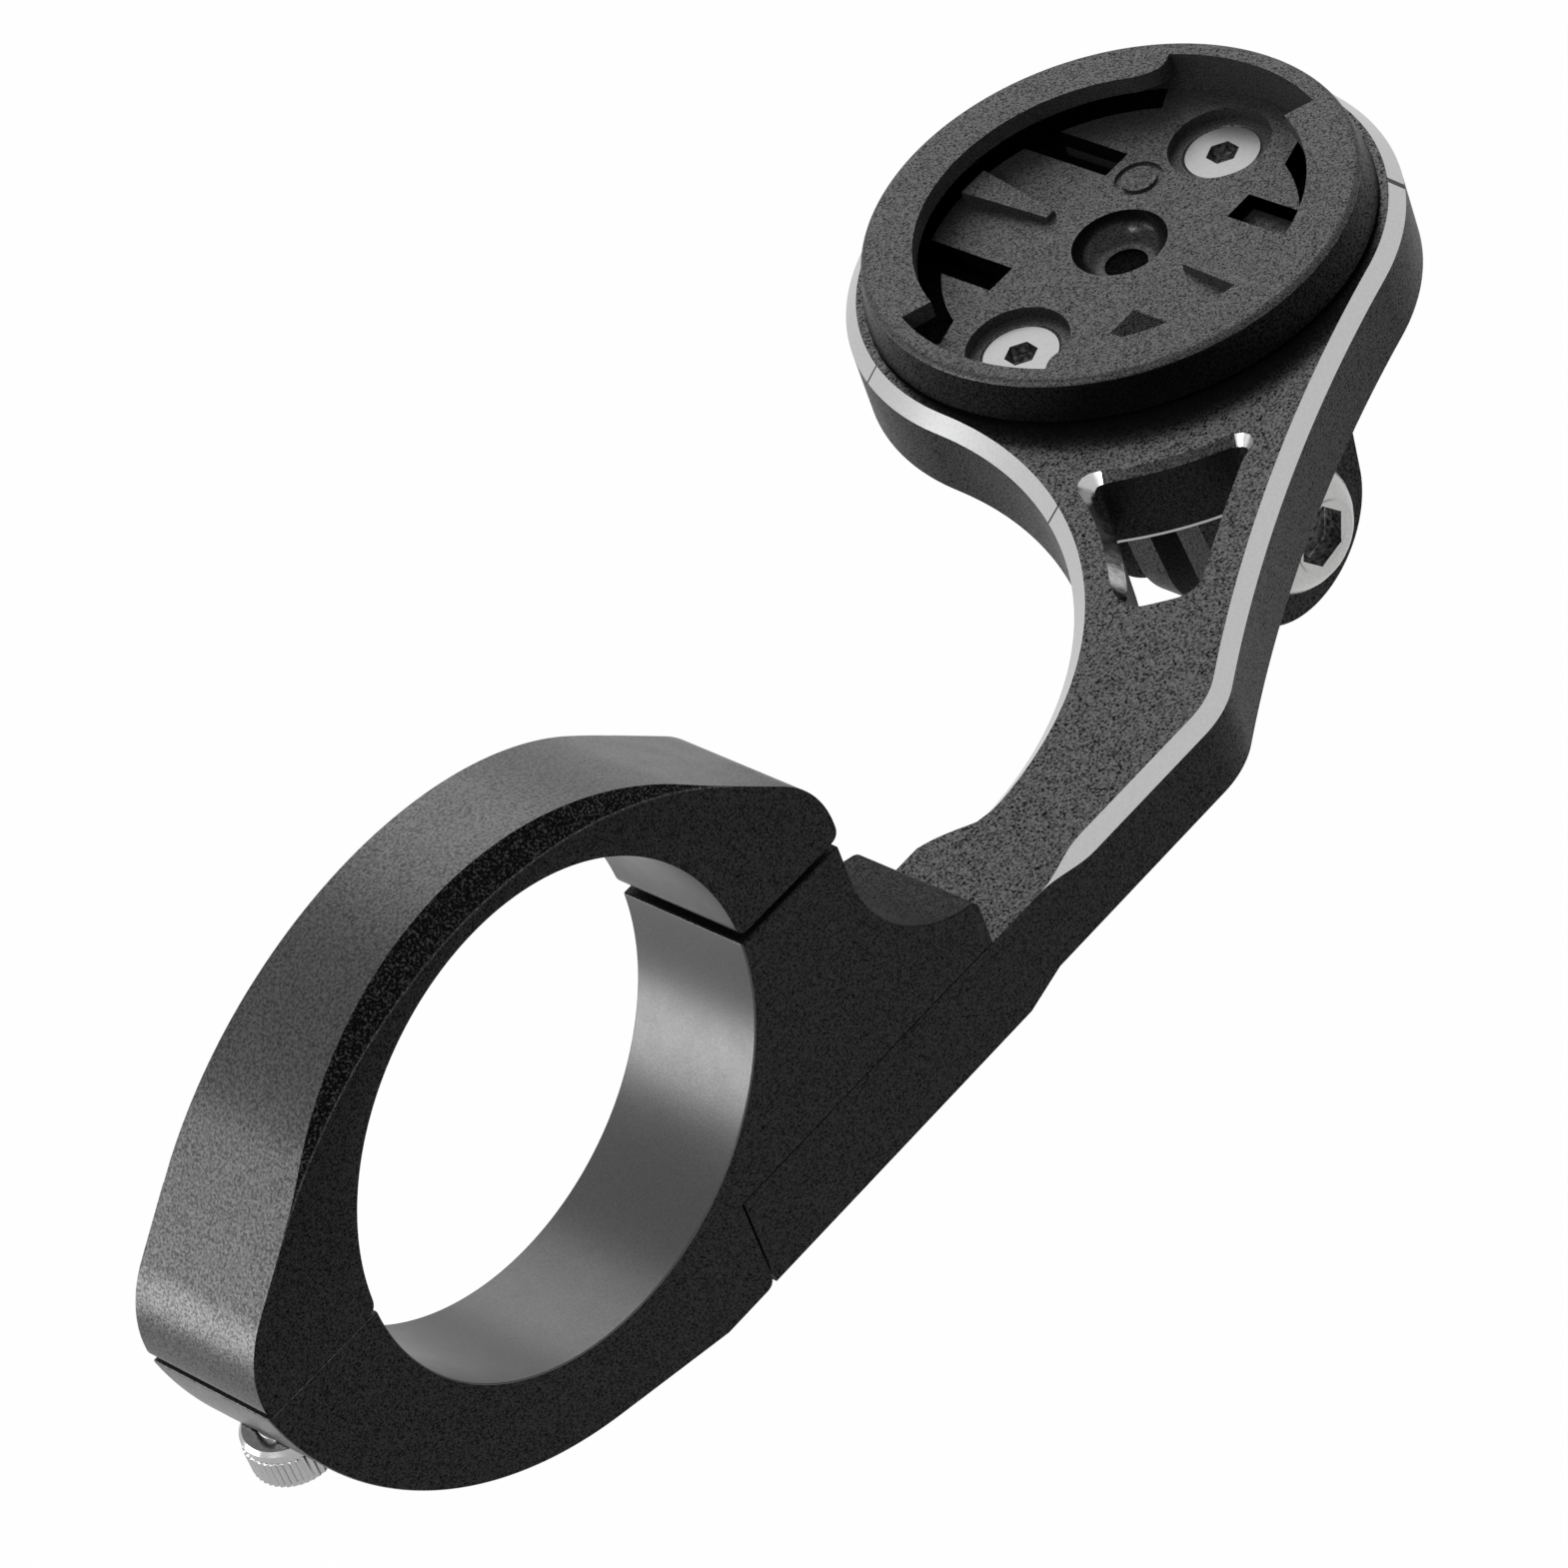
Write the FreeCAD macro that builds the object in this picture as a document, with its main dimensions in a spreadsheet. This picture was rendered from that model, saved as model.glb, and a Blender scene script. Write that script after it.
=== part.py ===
import FreeCAD, Part
import math
import os
import Sketcher
from FreeCAD import Placement, Rotation, Vector

# Handlebar mount for a cycling computer: a two-piece bar clamp, a flat arm that swings out to one
# side, a quarter-turn insert on the arm's round head and a three-prong accessory lug below it.
# Frame: origin on the handlebar axis at mid-width of the clamp, X forward to the head,
# Y along the handlebar, Z up. Millimetres.

os.makedirs("parts", exist_ok=True)
doc = FreeCAD.newDocument("bar_mount")

SIZES = {
    # Fits
    "slip": 0.05,
    "seat_play": 0.15,
    "overcut": 1.0,
    # Handlebar clamp
    "bar_radius": 15.9,
    "clamp_width": 9.8,
    "rear_split": 0.1,
    "front_split": 0.5,
    "lug_length": 9.1,
    "cap_wall": 2.7,
    "crown_spread": 8.2,
    "shoulder_lift": 1.05,
    "shoulder_radius": 7.0,
    "bevel_spread": 12.3,
    "bevel_depth": 1.8,
    "bevel_slope": 1.1,
    "cap_inner_round": 1.4,
    "cap_outer_round": 0.8,
    "cap_tap_depth": 4.6,
    # Lower half and its forward block
    "belly_spread": 11.1,
    "belly_exit_angle": 12.5,
    "toe_rise": 2.0,
    "toe_wall": 7.45,
    "step_reach": 9.05,
    "step_round": 0.8,
    "seat_wall": 0.35,
    "block_length": 7.7,
    "neck_setback": 0.3,
    "scoop_radius": 9.5,
    "scoop_level": -3.2,
    "nose_round": 0.8,
    # Clamp screws
    "rear_screw_setback": 3.2,
    "front_screw_setback": 4.4,
    "lug_seat": -5.9,
    "spot_radius": 3.25,
    "screw_radius": 1.5,
    "screw_head_radius": 2.8,
    "screw_head_height": 3.0,
    "screw_hex": 2.5,
    "screw_hex_depth": 1.6,
    "screw_end_gap": 0.4,
    "head_sink": 3.3,
    # Arm
    "arm_thickness": 6.0,
    "arm_pad": 0.95,
    "arm_gap": 0.1,
    "pad_overhang": 0.85,
    "arm_screw_setback": 4.3,
    "arm_screw_bite": 4.4,
    "pad_run_out": 3.15,
    "ramp_length": 3.7,
    "bend_radius": 8.0,
    "right_flank_radius": 140.0,
    "right_flank_join": 5.1,
    "waist": 3.5,
    "head_reach": 86.6,
    "head_offset": 29.4,
    "head_border": 1.55,
    "arm_chamfer": 0.95,
    "rib_share": 0.084,
    "window_near_share": 0.095,
    "window_far_share": 0.456,
    "window_round_share": 0.036,
    # Quarter-turn insert
    "insert_rise": 3.2,
    "rim_wall": 1.45,
    "insert_taper": 0.5,
    "rim_bevel": 0.7,
    "rim_fall": 0.9,
    "boss_wall": 1.0,
    "lip_overhang": 2.2,
    "lip_thickness": 1.3,
    "cavity_radius": 15.6,
    "cavity_depth": 3.0,
    "notch_half_angle": 24,
    "opening_margin": 3,
    "opening_width": 2.0,
    "slot_inner": 5.0,
    "slot_width": 2.4,
    "slot_start": 5.35,
    "tongue_thickness": 1.3,
    "wedge_start": 6.0,
    "wedge_setback": 0.8,
    "wedge_draft": 0.15,
    "wedge_tip_width": 0.8,
    "wedge_root_width": 2.4,
    "wedge_tip_height": 0.5,
    "wedge_root_height": 1.1,
    "centre_mouth_radius": 3.3,
    "centre_hole_radius": 2.1,
    "centre_mouth_depth": 1.3,
    # Insert screws
    "screw_setback": 4.8,
    "counterbore_radius": 3.6,
    "counterbore_depth": 0.85,
    "flat_head_radius": 2.75,
    "flat_head_height": 1.25,
    "flat_head_hex": 2.0,
    "flat_hex_depth": 1.0,
    "insert_screw_bite": 3.0,
    # Accessory lug
    "lug_plate": 3.6,
    "lug_plate_border": 3.0,
    "prong_thickness": 2.7,
    "prong_gap": 3.1,
    "prong_radius": 7.05,
    "prong_drop": 16.0,
    "prong_flare": 1.6,
    "lug_forward": -0.4,
    "lug_side": -1.6,
    "nut_boss": 2.6,
    "nut_boss_step": 0.6,
    # Camera bolt and nut
    "bolt_radius": 2.5,
    "bolt_head_radius": 4.7,
    "bolt_head_height": 2.7,
    "bolt_head_rim": 0.8,
    "bolt_crown_radius": 2.9,
    "bolt_hex": 3.0,
    "bolt_hex_depth": 1.7,
    "bolt_protrusion": 0.6,
    "nut_width": 8.0,
    "nut_height": 4.0,
}

FORMULAS = {
    "half_width": "=clamp_width / 2",
    "screw_hole": "=screw_radius + slip",
    "screw_pass": "=screw_radius + seat_play",
    "head_pass": "=screw_head_radius + seat_play",
    "cap_base": "=rear_split / 2",
    "lug_reach": "=bar_radius + lug_length",
    "crown_radius": "=bar_radius + crown_spread",
    "bevel_radius": "=bar_radius + bevel_spread",
    "bevel_drop": "=bevel_spread + bevel_depth - cap_wall",
    "belly_radius": "=bar_radius + belly_spread",
    "toe_level": "=-bar_radius - toe_wall",
    "seat_level": "=-bar_radius - seat_wall",
    "block_front": "=lug_reach + block_length",
    "block_neck": "=lug_reach - neck_setback",
    "rear_screw_reach": "=lug_reach - rear_screw_setback",
    "front_screw_reach": "=lug_reach - front_screw_setback",
    "arm_screw_reach": "=block_front - arm_screw_setback",
    "crown_level": "=bar_radius + cap_wall - crown_radius",
    "belly_lift": "=toe_level + toe_rise + belly_radius * cos(belly_exit_angle * 1deg)",
    "belly_shift": "=sqrt(belly_radius ^ 2 - (belly_lift + rear_split / 2) ^ 2) - lug_reach",
    "belly_join_x": "=belly_shift - belly_radius * sin(belly_exit_angle * 1deg)",
    "arm_under": "=seat_level - arm_thickness",
    "pad_under": "=arm_under - arm_pad",
    "arm_rear": "=step_reach + arm_gap",
    "pad_end": "=block_front + pad_overhang",
    "neck_start": "=pad_end + pad_run_out",
    "insert_top_radius": "=cavity_radius + rim_wall",
    "boss_radius": "=cavity_radius + boss_wall",
    "lip_radius": "=cavity_radius - lip_overhang",
    "core_radius": "=cavity_radius - opening_width",
    "wedge_end": "=core_radius - wedge_setback",
    "insert_screw_reach": "=cavity_radius - screw_setback",
    "lug_plate_radius": "=insert_screw_reach + lug_plate_border",
    "flange_radius": "=insert_top_radius + insert_taper",
    "head_radius": "=flange_radius + head_border",
    "right_centre_x": "=head_reach + right_flank_join * (head_radius + right_flank_radius) / head_radius",
    "right_centre_y": "=head_offset - sqrt(head_radius ^ 2 - right_flank_join ^ 2)"
                      " * (head_radius + right_flank_radius) / head_radius",
    "left_centre_x": "=neck_start + ramp_length",
    "left_flank_radius": "=((head_reach - left_centre_x) ^ 2 + (head_offset - waist) ^ 2 - head_radius ^ 2)"
                         " / (2 * (head_radius + head_offset - waist))",
    "left_centre_y": "=waist + left_flank_radius",
    "neck_length": "=sqrt((head_reach - left_centre_x) ^ 2 + head_offset ^ 2) - head_radius",
    "rib": "=neck_length * rib_share",
    "window_round": "=neck_length * window_round_share",
    "window_near": "=neck_length * window_near_share",
    "window_far": "=neck_length * window_far_share",
    "first_screw_x": "=head_reach + insert_screw_reach",
    "second_screw_x": "=head_reach - insert_screw_reach",
    "insert_top": "=seat_level + insert_rise",
    "rim_level": "=insert_top - rim_fall",
    "rim_edge": "=insert_top_radius - rim_bevel",
    "lip_bottom": "=insert_top - lip_thickness",
    "insert_floor": "=insert_top - cavity_depth",
    "slot_outer": "=slot_inner + slot_width",
    "slot_end": "=core_radius + slip",
    "head_level": "=insert_floor - counterbore_depth",
    "boss_bottom": "=head_level - flat_head_height",
    "boss_depth": "=seat_level - boss_bottom",
    "tongue_relief": "=insert_floor - boss_bottom - tongue_thickness",
    "sink_edge": "=insert_screw_reach + counterbore_radius",
    "flat_edge": "=insert_screw_reach + flat_head_radius + slip",
    "pass_edge": "=insert_screw_reach + screw_pass",
    "mouth_bottom": "=insert_floor - centre_mouth_depth",
    "wedge_sink": "=insert_floor - tongue_thickness / 2",
    "wedge_tip_half": "=wedge_tip_width / 2",
    "wedge_root_half": "=wedge_root_width / 2",
    "wedge_tip_foot": "=wedge_tip_half + wedge_draft",
    "wedge_root_foot": "=wedge_root_half + wedge_draft",
    "wedge_tip_level": "=insert_floor + wedge_tip_height",
    "wedge_root_level": "=insert_floor + wedge_root_height",
    "recess_radius": "=boss_radius + seat_play",
    "prong_stack": "=3 * prong_thickness + 2 * prong_gap",
    "lug_x": "=head_reach + lug_forward",
    "lug_y": "=head_offset + lug_side",
    "near_prong": "=lug_y - prong_stack / 2",
    "far_prong": "=lug_y + prong_stack / 2",
    "bolt_level": "=arm_under - prong_drop",
    "stack_half": "=prong_stack / 2",
    "prong_pitch": "=prong_thickness + prong_gap",
    "prong_root_half": "=prong_radius + prong_flare",
    "lug_root": "=arm_under - lug_plate / 2",
    "boss_round": "=prong_radius - nut_boss_step",
    "bolt_pass": "=bolt_radius + slip",
    "bolt_hex_corner": "=bolt_hex / sqrt(3)",
    "nut_socket_depth": "=nut_height + slip",
    "nut_socket_corner": "=(nut_width + seat_play) / sqrt(3)",
    "nut_seat": "=far_prong + nut_boss - nut_height",
    "bolt_length": "=nut_seat - near_prong + nut_height + bolt_protrusion",
    "lug_tap_first": "=insert_screw_reach - lug_forward",
    "lug_tap_second": "=-insert_screw_reach - lug_forward",
    "lug_tap_side": "=-lug_side",
    "foot_screw_seat": "=pad_under + head_sink",
    "rear_screw_length": "=cap_base + cap_tap_depth - screw_end_gap - lug_seat",
    "front_screw_length": "=cap_base + cap_tap_depth - screw_end_gap - foot_screw_seat",
    "arm_screw_length": "=seat_level + arm_screw_bite - foot_screw_seat",
    "insert_screw_length": "=head_level - arm_under + insert_screw_bite",
}

sheet = doc.addObject("Spreadsheet::Sheet", "Sizes")
for row, (name, value) in enumerate(list(SIZES.items()) + list(FORMULAS.items()), start=1):
    sheet.set("A%d" % row, name)
    sheet.set("B%d" % row, str(value))
    sheet.setAlias("B%d" % row, name)
doc.recompute()


def val(name):
    """The number in the sheet cell with this alias."""
    cell = sheet.get(name)
    return float(cell.Value if hasattr(cell, "Value") else cell)


def bind(obj, **expressions):
    """Binds properties to sheet formulas; a double underscore in a key stands for a dot."""
    for key, text in expressions.items():
        obj.setExpression(key.replace("__", "."), text)
    return obj


def place(obj, x="0", y="0", z="0", rotation=None):
    """Puts an object where three sheet formulas say."""
    obj.Placement = Placement(Vector(0, 0, 0), rotation or Rotation())
    for axis, text in (("x", x), ("y", y), ("z", z)):
        if text != "0":
            obj.setExpression("Placement.Base." + axis, text)
    return obj


# Sketch helpers

def new_body(label):
    body = doc.addObject("PartDesign::Body", label)
    body.Label = label
    return body


def new_sketch(body, name, role, level=None):
    """A sketch on one of the body's own origin planes, moved along the plane's normal by a formula."""
    support = [plane for plane in body.Origin.OriginFeatures if plane.Role == role][0]
    sk = body.newObject("Sketcher::SketchObject", name)
    sk.AttachmentSupport = [(support, "")]
    sk.MapMode = "FlatFace"
    if level:
        sk.setExpression("AttachmentOffset.Base.z", level)
    return sk


def add_line(sk, start, end):
    return sk.addGeometry(Part.LineSegment(Vector(*start, 0), Vector(*end, 0)), False)


def add_arc(sk, centre, radius, start_angle, end_angle):
    circle = Part.Circle(Vector(*centre, 0), Vector(0, 0, 1), radius)
    return sk.addGeometry(Part.ArcOfCircle(circle, start_angle, end_angle), False)


def constrain(sk, kind, *where, formula=None):
    """Adds a constraint and ties its value to a sheet formula."""
    index = sk.addConstraint(Sketcher.Constraint(kind, *where))
    if formula and formula != "0":
        sk.setExpression("Constraints[%d]" % index, formula)


def pin(sk, shape, point, x=None, y=None):
    """Holds a point of the sketch at formulas of the sheet, measured from the sketch origin."""
    here = sk.getPoint(shape, point)
    if x is not None:
        constrain(sk, "DistanceX", -1, 1, shape, point, here.x, formula=x)
    if y is not None:
        constrain(sk, "DistanceY", -1, 1, shape, point, here.y, formula=y)


def radius_of(sk, shape, formula):
    radius = sk.Geometry[shape].Radius
    constrain(sk, "Radius", shape, radius, formula=formula)


def link(sk, chain, smooth=()):
    """Closes a loop of segments; a negative entry is an arc that is walked from its end to its start."""
    ends = [(abs(entry) - 1, (2, 1) if entry < 0 else (1, 2)) for entry in chain]
    for place_in_chain, (shape, (_, last)) in enumerate(ends):
        following, (first, _) = ends[(place_in_chain + 1) % len(ends)]
        kind = "Tangent" if place_in_chain in smooth else "Coincident"
        sk.addConstraint(Sketcher.Constraint(kind, shape, last, following, first))


def number(text):
    """The value of a corner formula: a sheet alias, perhaps with a minus sign."""
    if text == "0":
        return 0.0
    return -val(text[1:]) if text.startswith("-") else val(text)


def cell(text):
    """The same corner formula as the sketch reads it."""
    if text == "0":
        return "0"
    return "-Sizes." + text[1:] if text.startswith("-") else "Sizes." + text


def polygon(sk, corners):
    """A closed run of straight lines whose corners sit at sheet values."""
    points = [(number(x), number(y)) for x, y in corners]
    shapes = [add_line(sk, points[i], points[(i + 1) % len(points)]) for i in range(len(points))]
    link(sk, [shape + 1 for shape in shapes])
    for shape, (x, y) in zip(shapes, corners):
        pin(sk, shape, 1, cell(x), cell(y))


def circle(sk, radius, x="0", y="0"):
    """A circle whose radius and centre are sheet values."""
    centre = Vector(number(x), number(y), 0)
    shape = sk.addGeometry(Part.Circle(centre, Vector(0, 0, 1), number(radius)), False)
    radius_of(sk, shape, cell(radius))
    pin(sk, shape, 3, cell(x), cell(y))


def feature(body, kind, name, profile, **expressions):
    made = body.newObject("PartDesign::" + kind, name)
    made.Profile = profile
    return bind(made, **expressions)


def pad(body, name, profile, length, both_ways=False, down=False):
    made = feature(body, "Pad", name, profile, Length=length)
    made.SideType = "Symmetric" if both_ways else "One side"
    made.Reversed = down
    return made


def pocket(body, name, profile, depth=None, up=False, both_ways=False):
    """Cuts down from the sketch, or up, by a formula or through everything."""
    doc.recompute()
    before = body.Shape.Volume
    made = feature(body, "Pocket", name, profile)
    made.SideType = "Symmetric" if both_ways else "One side"
    made.Reversed = up
    if depth:
        bind(made, Length=depth)
    else:
        made.Type = "ThroughAll"
    doc.recompute()
    if body.Shape.Volume >= before:
        raise RuntimeError(name + " removes nothing")
    return made


def edge_names(shape, test):
    """Names of the edges whose middle point passes the test."""
    names = []
    for number_of_edge, edge in enumerate(shape.Edges, start=1):
        middle = edge.valueAt((edge.FirstParameter + edge.LastParameter) / 2)
        if test(edge, middle):
            names.append("Edge%d" % number_of_edge)
    return names


def dress(body, kind, name, base, test, expression, prop):
    """A Fillet or a Chamfer on the edges that pass the test."""
    doc.recompute()
    names = edge_names(base.Shape, test)
    if not names:
        raise RuntimeError(name + " finds no edge")
    made = body.newObject("PartDesign::" + kind, name)
    made.Base = (base, names)
    return bind(made, **{prop: expression})


def round_edges(body, name, base, test, radius):
    return dress(body, "Fillet", name, base, test, radius, "Radius")


def bevel_edges(body, name, base, test, size):
    return dress(body, "Chamfer", name, base, test, size, "Size")


def near(first, second, tolerance=0.02):
    return abs(first - second) < tolerance


def is_vertical(edge):
    ends = [vertex.Point for vertex in edge.Vertexes]
    return len(ends) == 2 and near(ends[0].x, ends[1].x) and near(ends[0].y, ends[1].y)


def runs_across(edge):
    """True for an edge that runs along the handlebar."""
    ends = [vertex.Point for vertex in edge.Vertexes]
    return len(ends) == 2 and near(ends[0].x, ends[1].x) and near(ends[0].z, ends[1].z)


# Upper half of the clamp

def make_cap():
    body = new_body("clamp_cap")
    reach, base = val("lug_reach"), val("cap_base")
    crown, crown_centre = val("crown_radius"), (0, val("crown_level"))
    shoulder, shoulder_level = val("shoulder_radius"), base + val("shoulder_lift")
    # The flank is the common tangent of the crown arc and the shoulder arc.
    apart = Vector(reach - shoulder, shoulder_level - crown_centre[1], 0)
    slope = math.atan2(apart.x, apart.y) - math.acos((crown - shoulder) / apart.Length)
    touch = Vector(crown * math.sin(slope), crown_centre[1] + crown * math.cos(slope), 0)
    turn = Vector(reach - shoulder * (1 - math.sin(slope)), shoulder_level + shoulder * math.cos(slope), 0)

    outline = new_sketch(body, "CapOutline", "XZ_Plane")
    add_line(outline, (reach, base), (reach, shoulder_level))
    add_arc(outline, (reach - shoulder, shoulder_level), shoulder, 0, math.pi / 2 - slope)
    add_line(outline, (turn.x, turn.y), (touch.x, touch.y))
    add_arc(outline, crown_centre, crown, math.pi / 2 - slope, math.pi / 2 + slope)
    add_line(outline, (-touch.x, touch.y), (-turn.x, turn.y))
    add_arc(outline, (shoulder - reach, shoulder_level), shoulder, math.pi / 2 + slope, math.pi)
    add_line(outline, (-reach, shoulder_level), (-reach, base))
    add_line(outline, (-reach, base), (reach, base))
    link(outline, [1, 2, 3, 4, 5, 6, 7, 8], smooth=range(6))
    for upright in (0, 6):
        constrain(outline, "Vertical", upright)
    constrain(outline, "Horizontal", 7)
    pin(outline, 0, 1, "Sizes.lug_reach", "Sizes.cap_base")
    pin(outline, 6, 2, "-Sizes.lug_reach")
    pin(outline, 3, 3, "0", "Sizes.crown_level")
    radius_of(outline, 3, "Sizes.crown_radius")
    for arc in (1, 5):
        radius_of(outline, arc, "Sizes.shoulder_radius")
        pin(outline, arc, 3, None, "Sizes.cap_base + Sizes.shoulder_lift")
    solid = pad(body, "CapBlock", outline, "Sizes.clamp_width", both_ways=True)

    bore = new_sketch(body, "CapBore", "XZ_Plane")
    circle(bore, "bar_radius")
    solid = pocket(body, "CapBoreCut", bore, both_ways=True)

    # A shallow cone on each side leaves a crescent that is widest at the crown.
    axis_level = -val("bevel_drop")
    side_level = axis_level + val("bevel_radius")
    half, rise = val("half_width"), val("bevel_slope")
    edge = half + val("overcut")
    for name, sign, side in (("Far", "", 1), ("Near", "-", -1)):
        cone = new_sketch(body, "BevelProfile" + name, "YZ_Plane")
        low = (side * edge, side_level - rise * val("overcut"))
        high = (side * edge, side_level + rise * half)
        tip = (0, side_level + rise * half)
        add_line(cone, low, high)
        add_line(cone, high, tip)
        add_line(cone, tip, low)
        link(cone, [1, 2, 3])
        low_z = "Sizes.bevel_radius - Sizes.bevel_drop - Sizes.bevel_slope * Sizes.overcut"
        high_z = "Sizes.bevel_radius - Sizes.bevel_drop + Sizes.bevel_slope * Sizes.half_width"
        edge_y = "%s(Sizes.half_width + Sizes.overcut)" % sign
        pin(cone, 0, 1, edge_y, low_z)
        pin(cone, 1, 1, edge_y, high_z)
        pin(cone, 2, 1, "0", high_z)
        axis_line = Part.LineSegment(Vector(-edge, axis_level, 0), Vector(edge, axis_level, 0))
        axis = cone.addGeometry(axis_line, True)
        pin(cone, axis, 1, "-Sizes.half_width - Sizes.overcut", "-Sizes.bevel_drop")
        pin(cone, axis, 2, "Sizes.half_width + Sizes.overcut", "-Sizes.bevel_drop")
        solid = feature(body, "Groove", "Bevel" + name, cone)
        solid.ReferenceAxis = (cone, ["Axis0"])
        solid.Angle = 360
    taps = new_sketch(body, "CapTaps", "XY_Plane", "Sizes.cap_base")
    circle(taps, "screw_hole", "-rear_screw_reach")
    circle(taps, "screw_hole", "front_screw_reach")
    solid = pocket(body, "CapTapHoles", taps, "Sizes.cap_tap_depth", up=True)
    inner = round_edges(body, "CapInnerRound", solid,
                        lambda edge, middle: runs_across(edge) and near(middle.z, base)
                        and abs(middle.x) < val("bar_radius") + 0.5, "Sizes.cap_inner_round")
    round_edges(body, "CapOuterRound", inner,
                lambda edge, middle: runs_across(edge) and near(middle.z, base)
                and near(abs(middle.x), reach), "Sizes.cap_outer_round")
    return body


# Lower half of the clamp with its forward block

def make_base():
    body = new_body("clamp_base")
    belly, centre = val("belly_radius"), (val("belly_shift"), val("belly_lift"))
    rear_top, front_top = -val("rear_split") / 2, -val("front_split")
    start = (centre[0] - math.sqrt(belly ** 2 - (rear_top - centre[1]) ** 2), rear_top)
    toe, seat = val("toe_level"), val("seat_level")
    join = (val("belly_join_x"), toe + val("toe_rise"))
    toe_start = join[0] + (join[1] - toe) / math.tan(math.radians(val("belly_exit_angle")))
    step, front, neck = val("step_reach"), val("block_front"), val("block_neck")
    scoop, scoop_level = val("scoop_radius"), val("scoop_level")
    scoop_end = scoop_level - math.sqrt(scoop ** 2 - (neck + scoop - front) ** 2)

    outline = new_sketch(body, "BaseOutline", "XZ_Plane")
    angle_at = lambda x, z: math.atan2(z - centre[1], x - centre[0]) % (2 * math.pi)
    add_arc(outline, centre, belly, angle_at(*start), angle_at(*join))
    add_line(outline, join, (toe_start, toe))
    add_line(outline, (toe_start, toe), (step, toe))
    add_line(outline, (step, toe), (step, seat))
    add_line(outline, (step, seat), (front, seat))
    add_line(outline, (front, seat), (front, scoop_end))
    add_arc(outline, (neck + scoop, scoop_level), scoop, math.pi,
            math.pi + math.acos((neck + scoop - front) / scoop))
    add_line(outline, (neck, scoop_level), (neck, front_top))
    add_line(outline, (neck, front_top), start)
    link(outline, [1, 2, 3, 4, 5, 6, -7, 8, 9], smooth=[0, 6])
    for flat in (2, 4):
        constrain(outline, "Horizontal", flat)
    for upright in (3, 5, 7):
        constrain(outline, "Vertical", upright)
    pin(outline, 0, 3, "Sizes.belly_shift", "Sizes.belly_lift")
    radius_of(outline, 0, "Sizes.belly_radius")
    pin(outline, 0, 1, None, "-Sizes.rear_split / 2")
    pin(outline, 0, 2, "Sizes.belly_join_x")
    pin(outline, 2, 2, "Sizes.step_reach", "Sizes.toe_level")
    pin(outline, 4, 2, "Sizes.block_front", "Sizes.seat_level")
    radius_of(outline, 6, "Sizes.scoop_radius")
    pin(outline, 6, 3, None, "Sizes.scoop_level")
    pin(outline, 7, 2, "Sizes.block_neck", "-Sizes.front_split")
    pad(body, "BaseBlock", outline, "Sizes.clamp_width", both_ways=True)

    bore = new_sketch(body, "BaseBore", "XZ_Plane")
    circle(bore, "bar_radius")
    pocket(body, "BaseBoreCut", bore, both_ways=True)

    spot = new_sketch(body, "LugSpotFace", "XY_Plane", "Sizes.lug_seat")
    circle(spot, "spot_radius", "-rear_screw_reach")
    pocket(body, "LugSpotFaceCut", spot)
    rear_hole = new_sketch(body, "RearScrewHole", "XY_Plane", "Sizes.lug_seat")
    circle(rear_hole, "screw_pass", "-rear_screw_reach")
    pocket(body, "RearScrewHoleCut", rear_hole, up=True)
    front_hole = new_sketch(body, "FrontScrewHole", "XY_Plane", "Sizes.seat_level")
    circle(front_hole, "screw_pass", "front_screw_reach")
    pocket(body, "FrontScrewHoleCut", front_hole, up=True)
    arm_tap = new_sketch(body, "ArmScrewTap", "XY_Plane", "Sizes.seat_level")
    circle(arm_tap, "screw_hole", "arm_screw_reach")
    solid = pocket(body, "ArmScrewTapCut", arm_tap, "Sizes.arm_screw_bite + Sizes.seat_play", up=True)

    toe_round = round_edges(body, "ToeRound", solid,
                            lambda edge, middle: runs_across(edge) and near(middle.x, step)
                            and near(middle.z, toe), "Sizes.step_round")
    round_edges(body, "NoseRound", toe_round,
                lambda edge, middle: runs_across(edge) and near(middle.x, front)
                and near(middle.z, scoop_end, 0.1), "Sizes.nose_round")
    return body


# Arm

def crossing(first, first_radius, second, second_radius, side):
    """Where two circles meet, on the left (1) or right (-1) of the line between their centres."""
    gap = second - first
    along = (first_radius ** 2 - second_radius ** 2 + gap.Length ** 2) / (2 * gap.Length)
    across = math.sqrt(first_radius ** 2 - along ** 2)
    unit = gap / gap.Length
    return first + unit * along + Vector(-unit.y, unit.x, 0) * side * across


def bearing(centre, point):
    return math.atan2(point.y - centre.y, point.x - centre.x)


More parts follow.
